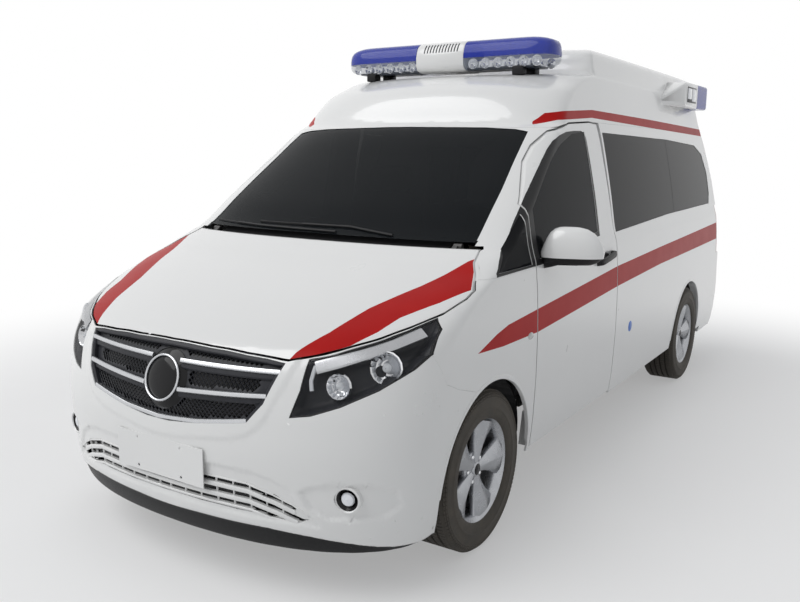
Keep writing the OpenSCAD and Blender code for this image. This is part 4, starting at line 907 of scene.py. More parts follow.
# %% Covers and bowls
HEADLAMP = [(0.572, 0.719), (0.596, 0.814), (0.597, 0.914), (0.679, 0.935), (0.774, 0.970), (0.836, 0.999),
            (0.892, 1.035), (0.925, 0.999), (0.938, 0.926), (0.912, 0.881), (0.839, 0.820), (0.734, 0.763),
            (0.644, 0.730)]
COVER_INSET, COVER_CELL = 0.001, 0.025
BOWL_EDGE, BOWL_DEEP, BOWL_SLOPE = 0.004, 0.055, 2.4
cover = panel_bm("headlamps", COVER_INSET, COVER_CELL, only_skin=True)
bowl = cover.copy()
piece("headlamp_covers", unmarked(cover), "body", [CLEAR])
for vert in bowl.verts:
    _, normal, _ = on_form(vert.co)
    gap = max(0.0, outline_gap(HEADLAMP, abs(vert.co.y), vert.co.z))
    vert.co -= normal * (BOWL_EDGE + min(BOWL_DEEP, BOWL_SLOPE * gap))
piece("headlamp_bowls", unmarked(facing_front(bowl)), "body", [GREY], ["headlamps"],
      sharp=SHEET_SHARP)

# %% Reflectors and bands
# distance from the middle, height, radius
REFLECTORS = ((0.715, 0.835, 0.046), (0.843, 0.897, 0.058))
REFLECTOR_INSET, REFLECTOR_AHEAD = 0.030, Vector((1.6, 0, 0))
REFLECTOR_SHARP = math.radians(12)
LAMP_BAND = [(0.628, 0.892), (0.690, 0.912), (0.760, 0.938), (0.830, 0.968), (0.886, 1.000)]
LAMP_STRIP = [(0.622, 0.900), (0.622, 0.850), (0.632, 0.815)]
LAMP_RIM = HEADLAMP + HEADLAMP[:1]
# polyline, inset, section, material
LAMP_BARS = ((LAMP_BAND, 0.010, (0.046, 0.006, 0.003), 2), (LAMP_STRIP, 0.018, (0.014, 0.006, 0.003), 1),
             (LAMP_RIM, 0.006, (0.009, 0.003, 0.004), 3))
parts = []
for side in (1, -1):
    for y, z, r in REFLECTORS:
        place, normal = front_place(side * y, z, REFLECTOR_INSET)
        aim = (normal + REFLECTOR_AHEAD).normalized()
        cup = [(r + 0.004, -0.002), (r, 0.006), (r * 0.92, 0.0), (r * 0.75, -0.014), (r * 0.5, -0.024),
               (r * 0.25, -0.028)]
        bulb = [(0.001, 0.004), (r * 0.22, 0.001), (r * 0.30, -0.010), (r * 0.26, -0.028)]
        parts += [turned(cup, 16, place, aim, 0), turned(bulb, 24, place, aim, 1)]
    for spots, inset, section, index in LAMP_BARS:
        parts.append(painted(front_bar(on_side(spots, side), inset, section), index))
piece("headlamp_reflectors", joined(*parts), "body", [CHROME, BULB, SATIN, GLOSS_BLACK],
      sharp=REFLECTOR_SHARP)

# %% [markdown]
# ## Wheels
# A tyre is a turned shape with cut tread: the section is spun round the axle, the rib faces are split off
# one by one and raised into blocks. The alloy rim has five broad spokes, each with a ridge along its
# middle; one spoke is lofted through a few sections and copied round. The wheels turn, so everything rides
# on the wheel's own body.

# %% Tyre: sidewall as (radius, height along the axle), ribs as their two edges along the axle
FRONT_X, REAR_X = 1.675, -1.525
WHEELS = {"front_left": (FRONT_X, 1), "front_right": (FRONT_X, -1), "rear_left": (REAR_X, 1),
          "rear_right": (REAR_X, -1)}
TRACK_HALF, AXLE_Z = 0.822, 0.339
TYRE_STEPS = 110
SIDEWALL = [(0.2165, 0.098), (0.224, 0.1055), (0.240, 0.1095), (0.2575, 0.1110), (0.2590, 0.1123),
            (0.2650, 0.1123), (0.2665, 0.1112), (0.288, 0.1106), (0.303, 0.1085), (0.3045, 0.1097),
            (0.3085, 0.1090), (0.3100, 0.1072), (0.320, 0.1035), (0.328, 0.0975), (0.3325, 0.0925)]
RIBS = [(0.0900, 0.0600), (0.0510, 0.0235), (0.0150, -0.0150), (-0.0235, -0.0510), (-0.0600, -0.0900)]
GROOVE_R, RIB_R, RIB_SLACK, RIB_WIDE = 0.3265, 0.3332, 0.0005, 0.02
BLOCK_CUT, BLOCK_RISE = 0.0022, 0.0056
SHOULDER_LOW, SHOULDER_TOP, SHOULDER_OUT = 0.3098, 0.329, 0.095
SHOULDER_CUT, SHOULDER_RISE = 0.0030, 0.0034


def reaches(face):
    """Distances of a face's corners from the axle."""
    return [math.hypot(v.co.x, v.co.y) for v in face.verts]


def tyre_bm():
    """A tyre round the Z axis, with blocks raised on its ribs and shoulders."""
    tread = []
    for outer, inner in RIBS:
        tread += [(RIB_R, outer), (RIB_R, inner), (GROOVE_R, inner - 0.002), (GROOVE_R, inner - 0.006)]
    bm = spun(SIDEWALL + tread[:-2] + [(r, -h) for r, h in SIDEWALL[::-1]], TYRE_STEPS)
    blocks = [f for f in bm.faces if min(reaches(f)) > RIB_R - RIB_SLACK
              and max(v.co.z for v in f.verts) - min(v.co.z for v in f.verts) > RIB_WIDE]
    shoulder = [f for f in bm.faces if min(reaches(f)) > SHOULDER_LOW and max(reaches(f)) < SHOULDER_TOP
                and abs(f.calc_center_median().z) > SHOULDER_OUT]
    bmesh.ops.inset_individual(bm, faces=blocks, thickness=BLOCK_CUT, depth=BLOCK_RISE)
    bmesh.ops.inset_individual(bm, faces=shoulder, thickness=SHOULDER_CUT, depth=SHOULDER_RISE)
    return bm


# %% Rim: profiles as (radius, height along the axle)
RIM_SECTION = [(0.190, -0.098), (0.2155, -0.098), (0.2305, -0.1005), (0.2305, -0.0975), (0.216, -0.090),
               (0.198, -0.060), (0.196, 0.060), (0.204, 0.080), (0.2155, 0.090), (0.2200, 0.0985),
               (0.2290, 0.1000), (0.2300, 0.0970), (0.2290, 0.0940), (0.2150, 0.0870), (0.2060, 0.0760),
               (0.1985, 0.058), (0.192, -0.060), (0.190, -0.098)]
HUB = [(0.001, 0.078), (0.022, 0.077), (0.030, 0.073), (0.033, 0.066), (0.040, 0.064), (0.074, 0.056),
       (0.078, 0.048), (0.078, 0.030)]
HUB_CAP = [(0.001, 0.0795), (0.020, 0.0785), (0.024, 0.0765), (0.025, 0.072)]
BRAKE_DISC = [(0.040, 0.028), (0.148, 0.028), (0.150, 0.026), (0.150, 0.010), (0.148, 0.008),
              (0.040, 0.008)]
BOLT = [(0.001, 0.008), (0.006, 0.008), (0.009, 0.005), (0.009, -0.006), (0.013, -0.008)]
BOLT_CIRCLE, BOLT_HEIGHT = 0.056, 0.058
SPOKES = 5
# radius, half width, height of the ridge along the middle, height of the edges, underside
SPOKE_ROWS = [(0.018, 0.016, 0.072, 0.068, 0.036), (0.045, 0.026, 0.074, 0.066, 0.036),
              (0.075, 0.034, 0.078, 0.064, 0.040), (0.105, 0.044, 0.082, 0.064, 0.044),
              (0.140, 0.058, 0.087, 0.068, 0.050), (0.175, 0.077, 0.091, 0.074, 0.056),
              (0.204, 0.094, 0.092, 0.079, 0.062)]
EDGE_ROUND = 0.006


def spoke_bm():
    """One spoke along the X axis, from the hub to the lip."""
    rings = []
    for r, half, ridge, edge, under in SPOKE_ROWS:
        left = [(r, -half, under), (r, -half, edge - EDGE_ROUND), (r, -half * 0.93, edge),
                (r, -half * 0.06, ridge)]
        rings.append(left + [(r, -y, z) for r, y, z in left[::-1]])
    return lofted(rings)


def rim_bm():
    """A rim round the Z axis, with spokes, bolts, hub, cap and brake disc."""
    parts = [painted(spun(RIM_SECTION, 72), 0)]
    for k in range(SPOKES):
        spoke = spoke_bm()
        spoke_turn = Matrix.Rotation(math.tau * k / SPOKES, 3, "Z")
        bmesh.ops.rotate(spoke, cent=(0, 0, 0), matrix=spoke_turn, verts=spoke.verts)
        bolt = spun(BOLT, 6)
        t = math.tau * (k + 0.5) / SPOKES
        bolt_place = (BOLT_CIRCLE * math.cos(t), BOLT_CIRCLE * math.sin(t), BOLT_HEIGHT)
        bmesh.ops.translate(bolt, vec=bolt_place, verts=bolt.verts)
        parts += [painted(spoke, 0), painted(bolt, 2)]
    parts += [painted(spun(HUB, 48), 0), painted(spun(HUB_CAP, 40), 1), painted(spun(BRAKE_DISC, 60), 3)]
    return joined(*parts)


# %% Four wheels
for name, (x, side) in WHEELS.items():
    place, aim = Vector((x, side * TRACK_HALF, AXLE_Z)), (0, side, 0)
    wheel = "wheel_" + name
    tyre, rim = aimed(tyre_bm(), place, aim), aimed(rim_bm(), place, aim)
    piece("tyre_tread_" + name, tyre, wheel, [RUBBER], ["tyre_" + name])
    piece("rim_spokes_" + name, rim, wheel, [ALLOY, GLOSS_BLACK, CHROME, IRON], ["rim_" + name])

# %% Lips of the wheel arches
ARCH_R, ARCH_FOOT, ARCH_INSET = 0.398, 0.19, 0.004
ARCH_SECTION = (0.020, 0.0065, 0.012)
ARCH_TURNS = np.linspace(math.radians(3), math.radians(177), 40)
parts = []
for x, side in WHEELS.values():
    spots = [(x + ARCH_R * math.cos(t), AXLE_Z + ARCH_R * math.sin(t)) for t in ARCH_TURNS]
    places = [side_place(px, max(pz, ARCH_FOOT), side, ARCH_INSET) for px, pz in spots]
    parts.append(ribbon(*zip(*places), bar_profile(*ARCH_SECTION)))
piece("arch_lips", joined(*parts), "body", [PAINT])

# %% [markdown]
# ## Light bar and corner lamps
# The light bar has a blue upper lens and a clear lower one on each side of a white loudspeaker box with
# louvres. Each lens is lofted, because its rounded section shrinks towards the end, then cut at the height
# where the colour changes. Inside the clear part stand small bright reflectors. A corner lamp is a box on
# the roof's side with a square lamp in its face and a blue lens round its back end.

# %% Lenses of the light bar
bar_low, bar_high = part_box("light_bar_lenses")
BAR_X, BAR_HALF_DEEP = (bar_low.x + bar_high.x) / 2, (bar_high.x - bar_low.x) / 2
BAR_Z, BAR_TALL, BAR_END = bar_low.z, bar_high.z - bar_low.z, bar_high.y
SPEAKER_HALF = 0.150
LENS_START = SPEAKER_HALF + 0.002
LENS_SPLIT = BAR_Z + 0.40 * BAR_TALL
# the share of the lens's length where it begins to shrink
SHRINK_FROM = 0.62


def power(value, exponent):
    """A power that keeps the sign."""
    return math.copysign(abs(value) ** exponent, value)


def bar_ring(y, share, grow=0.0):
    """One rounded section of the bar; the share shrinks it towards its end."""
    points = []
    for t in np.linspace(0, math.tau, 33)[:-1]:
        c, s = math.cos(t), math.sin(t)
        px = power(c, 0.55) * (BAR_HALF_DEEP * (0.35 + 0.65 * share) + grow)
        pz = power(s, 0.62 if s > 0 else 0.35)
        if s > 0:
            px *= 1 - 0.14 * pz
        rise = 0.5 + pz * 0.5 * (0.45 + 0.55 * share)
        points.append((BAR_X + px, y, BAR_Z + BAR_TALL * rise + grow * pz))
    return points


def lens_bm(side):
    """The lens on one side, blue above and clear below."""
    rings = []
    for u in np.concatenate([np.linspace(0, 0.7, 6), np.linspace(0.76, 1.0, 9)]):
        share = max(0.0, 1 - max(0.0, (u - SHRINK_FROM) / (1 - SHRINK_FROM)) ** 2.6) ** (1 / 2.2)
        rings.append(bar_ring(side * (LENS_START + (BAR_END - LENS_START) * u), share))
    bm = lofted(rings)
    bmesh.ops.bisect_plane(bm, geom=bm.verts[:] + bm.edges[:] + bm.faces[:], dist=1e-6,
                           plane_co=(0, 0, LENS_SPLIT), plane_no=(0, 0, 1))
    for face in bm.faces:
        face.material_index = 0 if face.calc_center_median().z > LENS_SPLIT else 1
    return bm


domes = joined(lens_bm(1), lens_bm(-1))
piece("light_bar_domes", domes, "body", [BLUE, SMOKE], ["light_bar_lenses"])

# %% Inside of the light bar
BAR_CUP = [(0.001, -0.006), (0.008, -0.004), (0.018, 0.004), (0.026, 0.016), (0.028, 0.016)]
CUPS, CUP_START, CUP_STEP = 6, SPEAKER_HALF + 0.045, 0.075
CUP_AHEAD, CUP_UP, CUP_SPREAD = BAR_HALF_DEEP - 0.045, 0.036, 0.1
# half depth, inner end, outer end, foot, top, bevel, material
BAR_INSIDE = ((0.085, 0.155, 0.56, 0.006, 0.016, 0.003, 1), (0.030, 0.16, 0.54, 0.016, 0.060, 0.006, 0))
CUP_SHARP = math.radians(15)
parts = []
for side in (1, -1):
    for k in range(CUPS):
        for ahead in (1, -1):
            place = Vector((BAR_X + ahead * CUP_AHEAD, side * (CUP_START + CUP_STEP * k), BAR_Z + CUP_UP))
            parts.append(turned(BAR_CUP, 14, place, (ahead, CUP_SPREAD * side, 0), 0))
    for half, inner, outer, low_z, high_z, bevel, index in BAR_INSIDE:
        y0, y1 = sorted((side * inner, side * outer))
        block = box_bm((BAR_X - half, y0, BAR_Z + low_z), (BAR_X + half, y1, BAR_Z + high_z), bevel)
        parts.append(painted(block, index))
piece("light_bar_reflectors", joined(*parts), "body", [CHROME, BLACK], sharp=CUP_SHARP)

# %% Loudspeaker box with louvres, and feet
BOX_GROW, BOX_END, BOX_EDGE = 0.0015, -0.001, 0.006
LOUVRES, LOUVRE_START, LOUVRE_STEP = 12, -0.105, 0.019
LOUVRE_LOW, LOUVRE_HIGH, LOUVRE_SLANT, LOUVRE_INSET = 0.62, 0.88, 0.010, 0.003
LOUVRE_SECTION = (0.009, 0.004, 0.003)
# a foot: its place and where the roof's height is read, then half width, sink into the roof, reach, bevel
FOOT_X, FOOT_Y, FOOT_LOOK_X = 0.083, 0.468, 0.07
FOOT_HALF, FOOT_SINK, FOOT_TOP, FOOT_BEVEL = 0.03, 0.004, 0.012, 0.005
box_rows = ((-SPEAKER_HALF, BOX_END), (-SPEAKER_HALF + BOX_EDGE, BOX_GROW),
            (SPEAKER_HALF - BOX_EDGE, BOX_GROW), (SPEAKER_HALF, BOX_END))
parts = [painted(lofted([bar_ring(y, 1.0, grow) for y, grow in box_rows]), 0)]
for ahead in (1, -1):
    for k in range(LOUVRES):
        y = LOUVRE_START + k * LOUVRE_STEP
        face_points = [p for p in bar_ring(y, 1.0, BOX_GROW) if (p[0] - BAR_X) * ahead > 0]
        xs, _, zs = zip(*sorted(face_points, key=lambda p: p[2]))
        path = []
        for u in np.linspace(LOUVRE_LOW, LOUVRE_HIGH, 6):
            z = BAR_Z + u * BAR_TALL
            path.append(Vector((np.interp(z, zs, xs) - LOUVRE_INSET * ahead, y + LOUVRE_SLANT * u, z)))
        louvre = ribbon(path, [Vector((ahead, 0, 0.3))] * len(path), bar_profile(*LOUVRE_SECTION))
        parts.append(painted(louvre, 1))
for side in (1, -1):
    for ahead in (1, -1):
        above = Vector((BAR_X + ahead * FOOT_LOOK_X, side * FOOT_Y, 3))
        roof_z = form_tree.ray_cast(above, Vector((0, 0, -1)))[0].z
        x, y = BAR_X + ahead * FOOT_X, side * FOOT_Y
        low = (x - FOOT_HALF, y - FOOT_HALF, roof_z - FOOT_SINK)
        high = (x + FOOT_HALF, y + FOOT_HALF, BAR_Z + FOOT_TOP)
        parts.append(painted(box_bm(low, high, FOOT_BEVEL), 2))
piece("speaker_box", joined(*parts), "body", [PAINT, GREY, BLACK], ["light_bar"])

# %% Boxes of the corner lamps
pod_low, pod_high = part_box("corner_lamps")
POD_Z, POD_Y = (pod_low.z + pod_high.z) / 2, pod_high.y
POD_BLUE_X = pod_low.x + 0.300
POD_ROUND = 0.014
pod = node_bm("corner_lamps")
bmesh.ops.dissolve_limit(pod, angle_limit=math.radians(1), verts=pod.verts, edges=pod.edges)
bmesh.ops.bisect_plane(pod, geom=pod.verts[:] + pod.edges[:] + pod.faces[:], dist=1e-6,
                       plane_co=(POD_BLUE_X, 0, 0), plane_no=(1, 0, 0))
for face in pod.faces:
    face.material_index = int(face.calc_center_median().x < POD_BLUE_X)
rim_edges = [e for e in pod.edges if len(e.link_faces) == 2 and e.calc_face_angle() > math.radians(50)
             and all(abs(v.co.y) > POD_Y - 0.002 for v in e.verts)]
bmesh.ops.bevel(pod, geom=rim_edges, offset=POD_ROUND, segments=3, profile=0.5, affect="EDGES", material=-1)
bmesh.ops.triangulate(pod, faces=[f for f in pod.faces if len(f.verts) > 4])
piece("corner_lamp_pods", pod, "body", [PAINT, BLUE], ["corner_lamps"])

# %% Faces of the corner lamps
POD_LAMP_X, POD_LAMP_LONG, POD_LAMP_TALL = pod_low.x + 0.350, 0.250, 0.112
x0, x1 = POD_LAMP_X, POD_LAMP_X + POD_LAMP_LONG
z0, z1 = POD_Z - POD_LAMP_TALL / 2, POD_Z + POD_LAMP_TALL / 2
middle_x = (x0 + x1) / 2
# back, front, foot and top of a slab, how far it sinks in and stands out, bevel, material
POD_SLABS = ((x0 - 0.016, x1 + 0.016, z0 - 0.016, z1 + 0.016, 0.010, 0.004, 0.010, 1),
             (x0, x1, z0, z1, 0.008, 0.006, 0.006, 2),
             (x0 + 0.010, middle_x - 0.004, z0 + 0.012, z1 - 0.010, 0.004, 0.008, 0.006, 0),
             (middle_x + 0.006, x1 - 0.010, z0 + 0.024, z1 - 0.010, 0.004, 0.008, 0.006, 0))
parts = []
for side in (1, -1):
    for back_x, front_x, low_z, high_z, sink, rise, bevel, index in POD_SLABS:
        y0, y1 = sorted((side * (POD_Y - sink), side * (POD_Y + rise)))
        parts.append(painted(box_bm((back_x, y0, low_z), (front_x, y1, high_z), bevel), index))
piece("corner_lamp_faces", joined(*parts), "body", [BULB, PAINT, GREY])

# %% [markdown]
# ## Mirrors, handles and small parts of the sides
# A door mirror is a rounded shell in body colour over a black foot that runs back to the door. Its outline
# from the front and its rounded plan are the CAD part's; rings of points at several heights are lofted into
# one smooth skin, and the rings draw in towards the top. A box with a smoothing modifier would need many
# more moves to keep that outline. The glass sits in its rear face. Handles are swept along the door's skin.

# %% Mirrors
MIRROR_FOOT = Vector((0.434 * HALF_LEN, 1.094 * HALF_W, 0.515 * ROOF_H))
MIRROR_LONG, MIRROR_TALL, MIRROR_DEEP = 0.280, 0.170, 0.120
MIRROR_TURN = Matrix.Rotation(math.radians(20), 3, "Z")
# share of the height, inner and outer end as shares of the length, ahead and behind as shares of the depth
MIRROR_ROWS = [(0.00, -0.40, 0.10, 0.16, 0.16), (0.02, -0.45, 0.30, 0.30, 0.30),
               (0.08, -0.485, 0.39, 0.40, 0.42), (0.19, -0.49, 0.475, 0.46, 0.46),
               (0.20, -0.495, 0.485, 0.49, 0.46), (0.34, -0.495, 0.498, 0.50, 0.46),
               (0.50, -0.46, 0.480, 0.49, 0.45), (0.68, -0.415, 0.425, 0.45, 0.42),
               (0.84, -0.36, 0.330, 0.37, 0.36), (0.94, -0.29, 0.225, 0.26, 0.26),
               (0.99, -0.21, 0.100, 0.13, 0.14), (1.00, -0.15, 0.000, 0.05, 0.05)]
SHELL_FROM = 0.195
MIRROR_ROUND, GLASS_ROUND = 0.8, 0.7
# the glass: half length, half height, how far behind, outwards and above the mirror's foot its middle is
GLASS_HALF_LONG, GLASS_HALF_TALL, GLASS_BEHIND, GLASS_OUT, GLASS_UP = 0.112, 0.052, 0.0565, -0.004, 0.092
MIRROR_FOOT_PROFILE = [(-0.032, -0.016), (-0.032, 0.010), (-0.020, 0.016), (0.020, 0.016), (0.032, 0.010),
                       (0.032, -0.016)]


def mirror_place(across, along, up):
    """A point of the mirror: ahead, outwards and up from its foot, in metres."""
    return MIRROR_FOOT + MIRROR_TURN @ Vector((across, along, up))


def mirror_bm():
    """The shell and, in black, its lower edge."""
    rings = []
    for up, inner, outer, ahead, behind in MIRROR_ROWS:
        middle, half = (inner + outer) / 2 * MIRROR_LONG, (outer - inner) / 2 * MIRROR_LONG
        points = []
        for t in np.linspace(0, math.tau, 41)[:-1]:
            deep = ahead if math.cos(t) > 0 else behind
            points.append(mirror_place(power(math.cos(t), MIRROR_ROUND) * deep * MIRROR_DEEP,
                                       middle + power(math.sin(t), MIRROR_ROUND) * half, up * MIRROR_TALL))
        rings.append(points)
    bm = lofted(rings)
    for face in bm.faces:
        face.material_index = int(face.calc_center_median().z < MIRROR_FOOT.z + SHELL_FROM * MIRROR_TALL)
    return bm


def mirror_parts():
    """Shell, foot and glass of the left mirror."""
    glass = bmesh.new()
    bmesh.ops.create_circle(glass, cap_ends=True, segments=40, radius=1)
    bmesh.ops.inset_region(glass, faces=glass.faces[:], thickness=0.06, depth=0.04)
    for vert in glass.verts:
        x, y, z = vert.co
        vert.co = mirror_place(-GLASS_BEHIND - 0.03 * z, power(x, GLASS_ROUND) * GLASS_HALF_LONG + GLASS_OUT,
                               power(y, GLASS_ROUND) * GLASS_HALF_TALL + GLASS_UP)
    bmesh.ops.recalc_face_normals(glass, faces=glass.faces)
    foot_start, _ = side_place(MIRROR_FOOT.x + 0.030, MIRROR_FOOT.z, 1, 0.004)
    foot_path = [foot_start, foot_start + Vector((-0.006, 0.030, 0.006)),
                 mirror_place(0.01, -0.06, 0.018), mirror_place(0, 0.02, 0.018)]
    foot = ribbon(foot_path, [Vector((0, 0, 1))] * len(foot_path), MIRROR_FOOT_PROFILE)
    return joined(mirror_bm(), painted(foot, 1), painted(glass, 2))


MIRROR_FINISHES = [PAINT, BLACK, CHROME]
left_bm, right_bm = mirror_parts(), mirrored(mirror_parts())
piece("mirror_shell_left", left_bm, "door_left", MIRROR_FINISHES, ["mirror_left"])
piece("mirror_shell_right", right_bm, "door_right", MIRROR_FINISHES, ["mirror_right"])

# %% Door handles: station and height of the two ends
HANDLE = ((0.4677, 1.0791), (0.2519, 1.1047))
SLIDING_HANDLE = ((0.1028, 1.0858), (-0.1131, 1.0869))
# share of the way from end to end, and rise above the skin
HANDLE_RISE = ((-0.07, -0.002), (-0.05, 0.010), (0.0, 0.022), (0.10, 0.026), (0.5, 0.028), (0.90, 0.026),
               (1.0, 0.022), (1.05, 0.010), (1.07, -0.002))
HANDLE_SECTION = (0.029, 0.008, 0.008)
HANDLE_FOOT = [(0.001, 0.024), (0.013, 0.024), (0.0155, 0.010), (0.018, -0.003)]
HANDLE_DISH = [(0.001, 0.0012), (0.030, 0.0012), (0.040, 0.0012), (0.043, 0.0)]
DISH_STRETCH, DISH_INSET = (1.7, 0.75, 1), 0.001


def handle_bm(ends):
    """A bar on two feet over an oval dish, on the left side."""
    (x0, z0), (x1, z1) = ends
    places = [side_place(x0 + (x1 - x0) * u, z0 + (z1 - z0) * u, 1, -rise) for u, rise in HANDLE_RISE]
    bar = ribbon(*zip(*places), bar_profile(*HANDLE_SECTION))
    feet = [turned(HANDLE_FOOT, 24, *side_place(x, z, 1, 0.0), 0) for x, z in ends]
    dish = spun(HANDLE_DISH, 32)
    bmesh.ops.scale(dish, vec=DISH_STRETCH, verts=dish.verts)
    return joined(bar, *feet, aimed(dish, *side_place((x0 + x1) / 2, (z0 + z1) / 2, 1, DISH_INSET)))


piece("door_handle_left", handle_bm(HANDLE), "door_left", [BLACK])
piece("door_handle_right", mirrored(handle_bm(HANDLE)), "door_right", [BLACK])
piece("sliding_door_handle", mirrored(handle_bm(SLIDING_HANDLE)), "body", [BLACK])

# %% Repeaters and the round sticker: station and height
REPEATER_X, REPEATER_Z = 1.325, 0.850
REPEATER = [(0.001, 0.006), (0.012, 0.005), (0.018, 0.002), (0.021, -0.002)]
REPEATER_STRETCH = (1.5, 0.8, 1)
DOT_X, DOT_Z = -0.111, 0.644
DOT = [(0.001, 0.0012), (0.030, 0.0012), (0.032, 0.0)]
parts = []
for side in (1, -1):
    lamp = spun(REPEATER, 28)
    bmesh.ops.scale(lamp, vec=REPEATER_STRETCH, verts=lamp.verts)
    parts.append(painted(aimed(lamp, *side_place(REPEATER_X, REPEATER_Z, side, 0.0)), 0))
parts.append(turned(DOT, 36, *side_place(DOT_X, DOT_Z, 1, 0.0), 1))
piece("side_details", joined(*parts), "body", [PALE_LENS, BLUE_DOT])

# %% [markdown]
# ## Wipers
# Each wiper is an arm from the foot of the windscreen that bends where it meets a thin blade and runs on
# along the blade. Both are swept along paths on the form, so they follow the glass where a straight bar
# would cut into it.

# %% Arms and blades: tip of the blade, its joint with the arm, and the arm's end, as (distance, height)
WIPERS = (((-0.740, 1.286), (-0.360, 1.276), (0.100, 1.2727)),
          ((-0.400, 1.2938), (0.156, 1.296), (0.400, 1.2727)))
BLADE = [(-0.006, 0.0), (-0.004, 0.004), (-0.0015, 0.007), (0.0015, 0.007), (0.004, 0.004), (0.006, 0.0)]
ARM_SECTION = (0.011, 0.005, 0.002)
BLADE_INSET, ARM_INSET, WIPER_STEPS = 0.001, -0.002, 24
parts = []
for tip, joint, end in WIPERS:
    half_way = ((tip[0] + joint[0]) / 2, (tip[1] + joint[1]) / 2)
    parts.append(ribbon(*front_path([tip, joint], BLADE_INSET, WIPER_STEPS), BLADE))
    parts.append(front_bar([half_way, joint, end], ARM_INSET, ARM_SECTION, WIPER_STEPS))
piece("wiper_arms", joined(*parts), "body", [BLACK], ["wipers"])

# %% [markdown]
# ## Seats
# A front seat has a crowned base, a back that leans and a separate head rest, all in pale cloth. Each pad
# starts as a block that is split and rounded, then its faces are pushed out to a crown. That is enough
# here, because a seat is only seen through dark glass or an open door. The box below each base is a plain
# dark frame.

# %% Pads
seat_low, seat_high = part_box("seats")
SEAT_Y = seat_high.y - 0.25
LEAN = math.radians(-9)
PAD_CUTS, PAD_POWER, PAD_SHRINK = 7, 8, 0.95
PAD_SHARP = math.radians(80)
# length, width and height of each pad, then its crown
BASE_SIZE, BASE_CROWN = (0.500, 0.480, 0.140), 0.10
BACK_SIZE, REST_SIZE, BACK_CROWN = (0.125, 0.470, 0.520), (0.090, 0.260, 0.150), 0.12
BASE_AHEAD, BASE_Z = 0.345, 0.825
BACK_AHEAD, BACK_Z, REST_UP = 0.155, 1.135, 0.350
SEAT_FRAME_BACK, SEAT_FRAME_FRONT, SEAT_FRAME_HALF, SEAT_FRAME_TOP = 0.10, 0.58, 0.22, 0.765


def pad_bm(size, crown):
    """A cushion of a size: a block with rounded corners whose faces swell."""
    bm = bmesh.new()
    bmesh.ops.create_cube(bm, size=2)
    bmesh.ops.subdivide_edges(bm, edges=bm.edges[:], cuts=PAD_CUTS, use_grid_fill=True)
    for vert in bm.verts:
        x, y, z = vert.co
        swell = [1 + crown * (1 - b * b) * (1 - c * c) for b, c in ((y, z), (x, z), (x, y))]
        length = sum(abs(c) ** PAD_POWER for c in (x, y, z)) ** (1 / PAD_POWER)
        unit = Vector((x, y, z)) / length * PAD_SHRINK
        vert.co = Vector([u * s / 2 * w for u, s, w in zip(unit, size, swell)])
    return bm


for side, label, replaced in ((1, "left", ["seats"]), (-1, "right", [])):
    base = pad_bm(BASE_SIZE, BASE_CROWN)
    bmesh.ops.translate(base, vec=(seat_low.x + BASE_AHEAD, side * SEAT_Y, BASE_Z), verts=base.verts)
    rest = pad_bm(REST_SIZE, BACK_CROWN)
    bmesh.ops.translate(rest, vec=(0, 0, REST_UP), verts=rest.verts)
    lean = joined(pad_bm(BACK_SIZE, BACK_CROWN), rest)
    lean_turn = Matrix.Rotation(LEAN, 3, "Y")
    bmesh.ops.rotate(lean, cent=(0, 0, -BACK_SIZE[2] / 2), matrix=lean_turn, verts=lean.verts)
    bmesh.ops.translate(lean, vec=(seat_low.x + BACK_AHEAD, side * SEAT_Y, BACK_Z), verts=lean.verts)
    cushion = piece("seat_pads_" + label, joined(base, lean), "body", [CLOTH], replaced,
                    sharp=PAD_SHARP)
    foot = box_bm((seat_low.x + SEAT_FRAME_BACK, side * SEAT_Y - SEAT_FRAME_HALF, seat_low.z + 0.002),
                  (seat_low.x + SEAT_FRAME_FRONT, side * SEAT_Y + SEAT_FRAME_HALF, SEAT_FRAME_TOP), 0.02)
    piece("seat_frame_" + label, foot, "body", [BLACK])

# %% [markdown]
# ## Plain CAD parts
# Parts whose CAD shape is right keep it and only get a finish. Most of them are hidden by others, so a
# finer model would hardly show.

# %% Finishes for CAD nodes that stay
KEPT = {BLACK: ["cowl", "wheel_housings", "dashboard", "steering_wheel"],
        STEEL: ["floor_pan", "firewall", "front_axle", "rear_axle", "hinge_brackets", "knuckle_left",
                "knuckle_right", "door_hinges_left", "door_hinges_right", "hood_hinges", "tailgate_hinges"],
        IRON: ["engine_block"], PAINT: ["front_plate", "partition"], RED_LENS: ["tail_lamps"]}
for material, names in KEPT.items():
    for name in names:
        nodes[name].data.materials.clear()
        nodes[name].data.materials.append(material)
print("kept CAD nodes", sum(map(len, KEPT.values())))

# %% [markdown]
# ## Camera, floor and light
# The camera stands at the photograph's point of view: ahead of the van, on its left, a little above the
# bonnet. The floor is plain and pale. One broad, soft sun and an even sky light the van, and the camera
# sees white behind it.

# %% Camera
PHOTO_W, FOCAL_PX = 800, 820
EYE = Vector((4.564, 2.384, 1.630))
YAW, PITCH, ROLL = math.radians(-147.07), math.radians(-9.95), math.radians(-0.47)
MIDDLE_RIGHT_PX, MIDDLE_DOWN_PX = 1.0, -4.0
look = Vector((math.cos(PITCH) * math.cos(YAW), math.cos(PITCH) * math.sin(YAW), math.sin(PITCH)))
right = look.cross(Vector((0, 0, 1))).normalized()
down = look.cross(right)
image_right = math.cos(ROLL) * right + math.sin(ROLL) * down
image_down = -math.sin(ROLL) * right + math.cos(ROLL) * down
camera_data = bpy.data.cameras.new("camera")
camera = bpy.data.objects.new("camera", camera_data)
bpy.context.scene.collection.objects.link(camera)
camera_turn = Matrix((image_right, -image_down, -look)).transposed().to_4x4()
camera.matrix_world = Matrix.Translation(EYE) @ camera_turn
camera_data.sensor_width = 36
camera_data.lens = FOCAL_PX / PHOTO_W * camera_data.sensor_width
camera_data.shift_x = -MIDDLE_RIGHT_PX / PHOTO_W
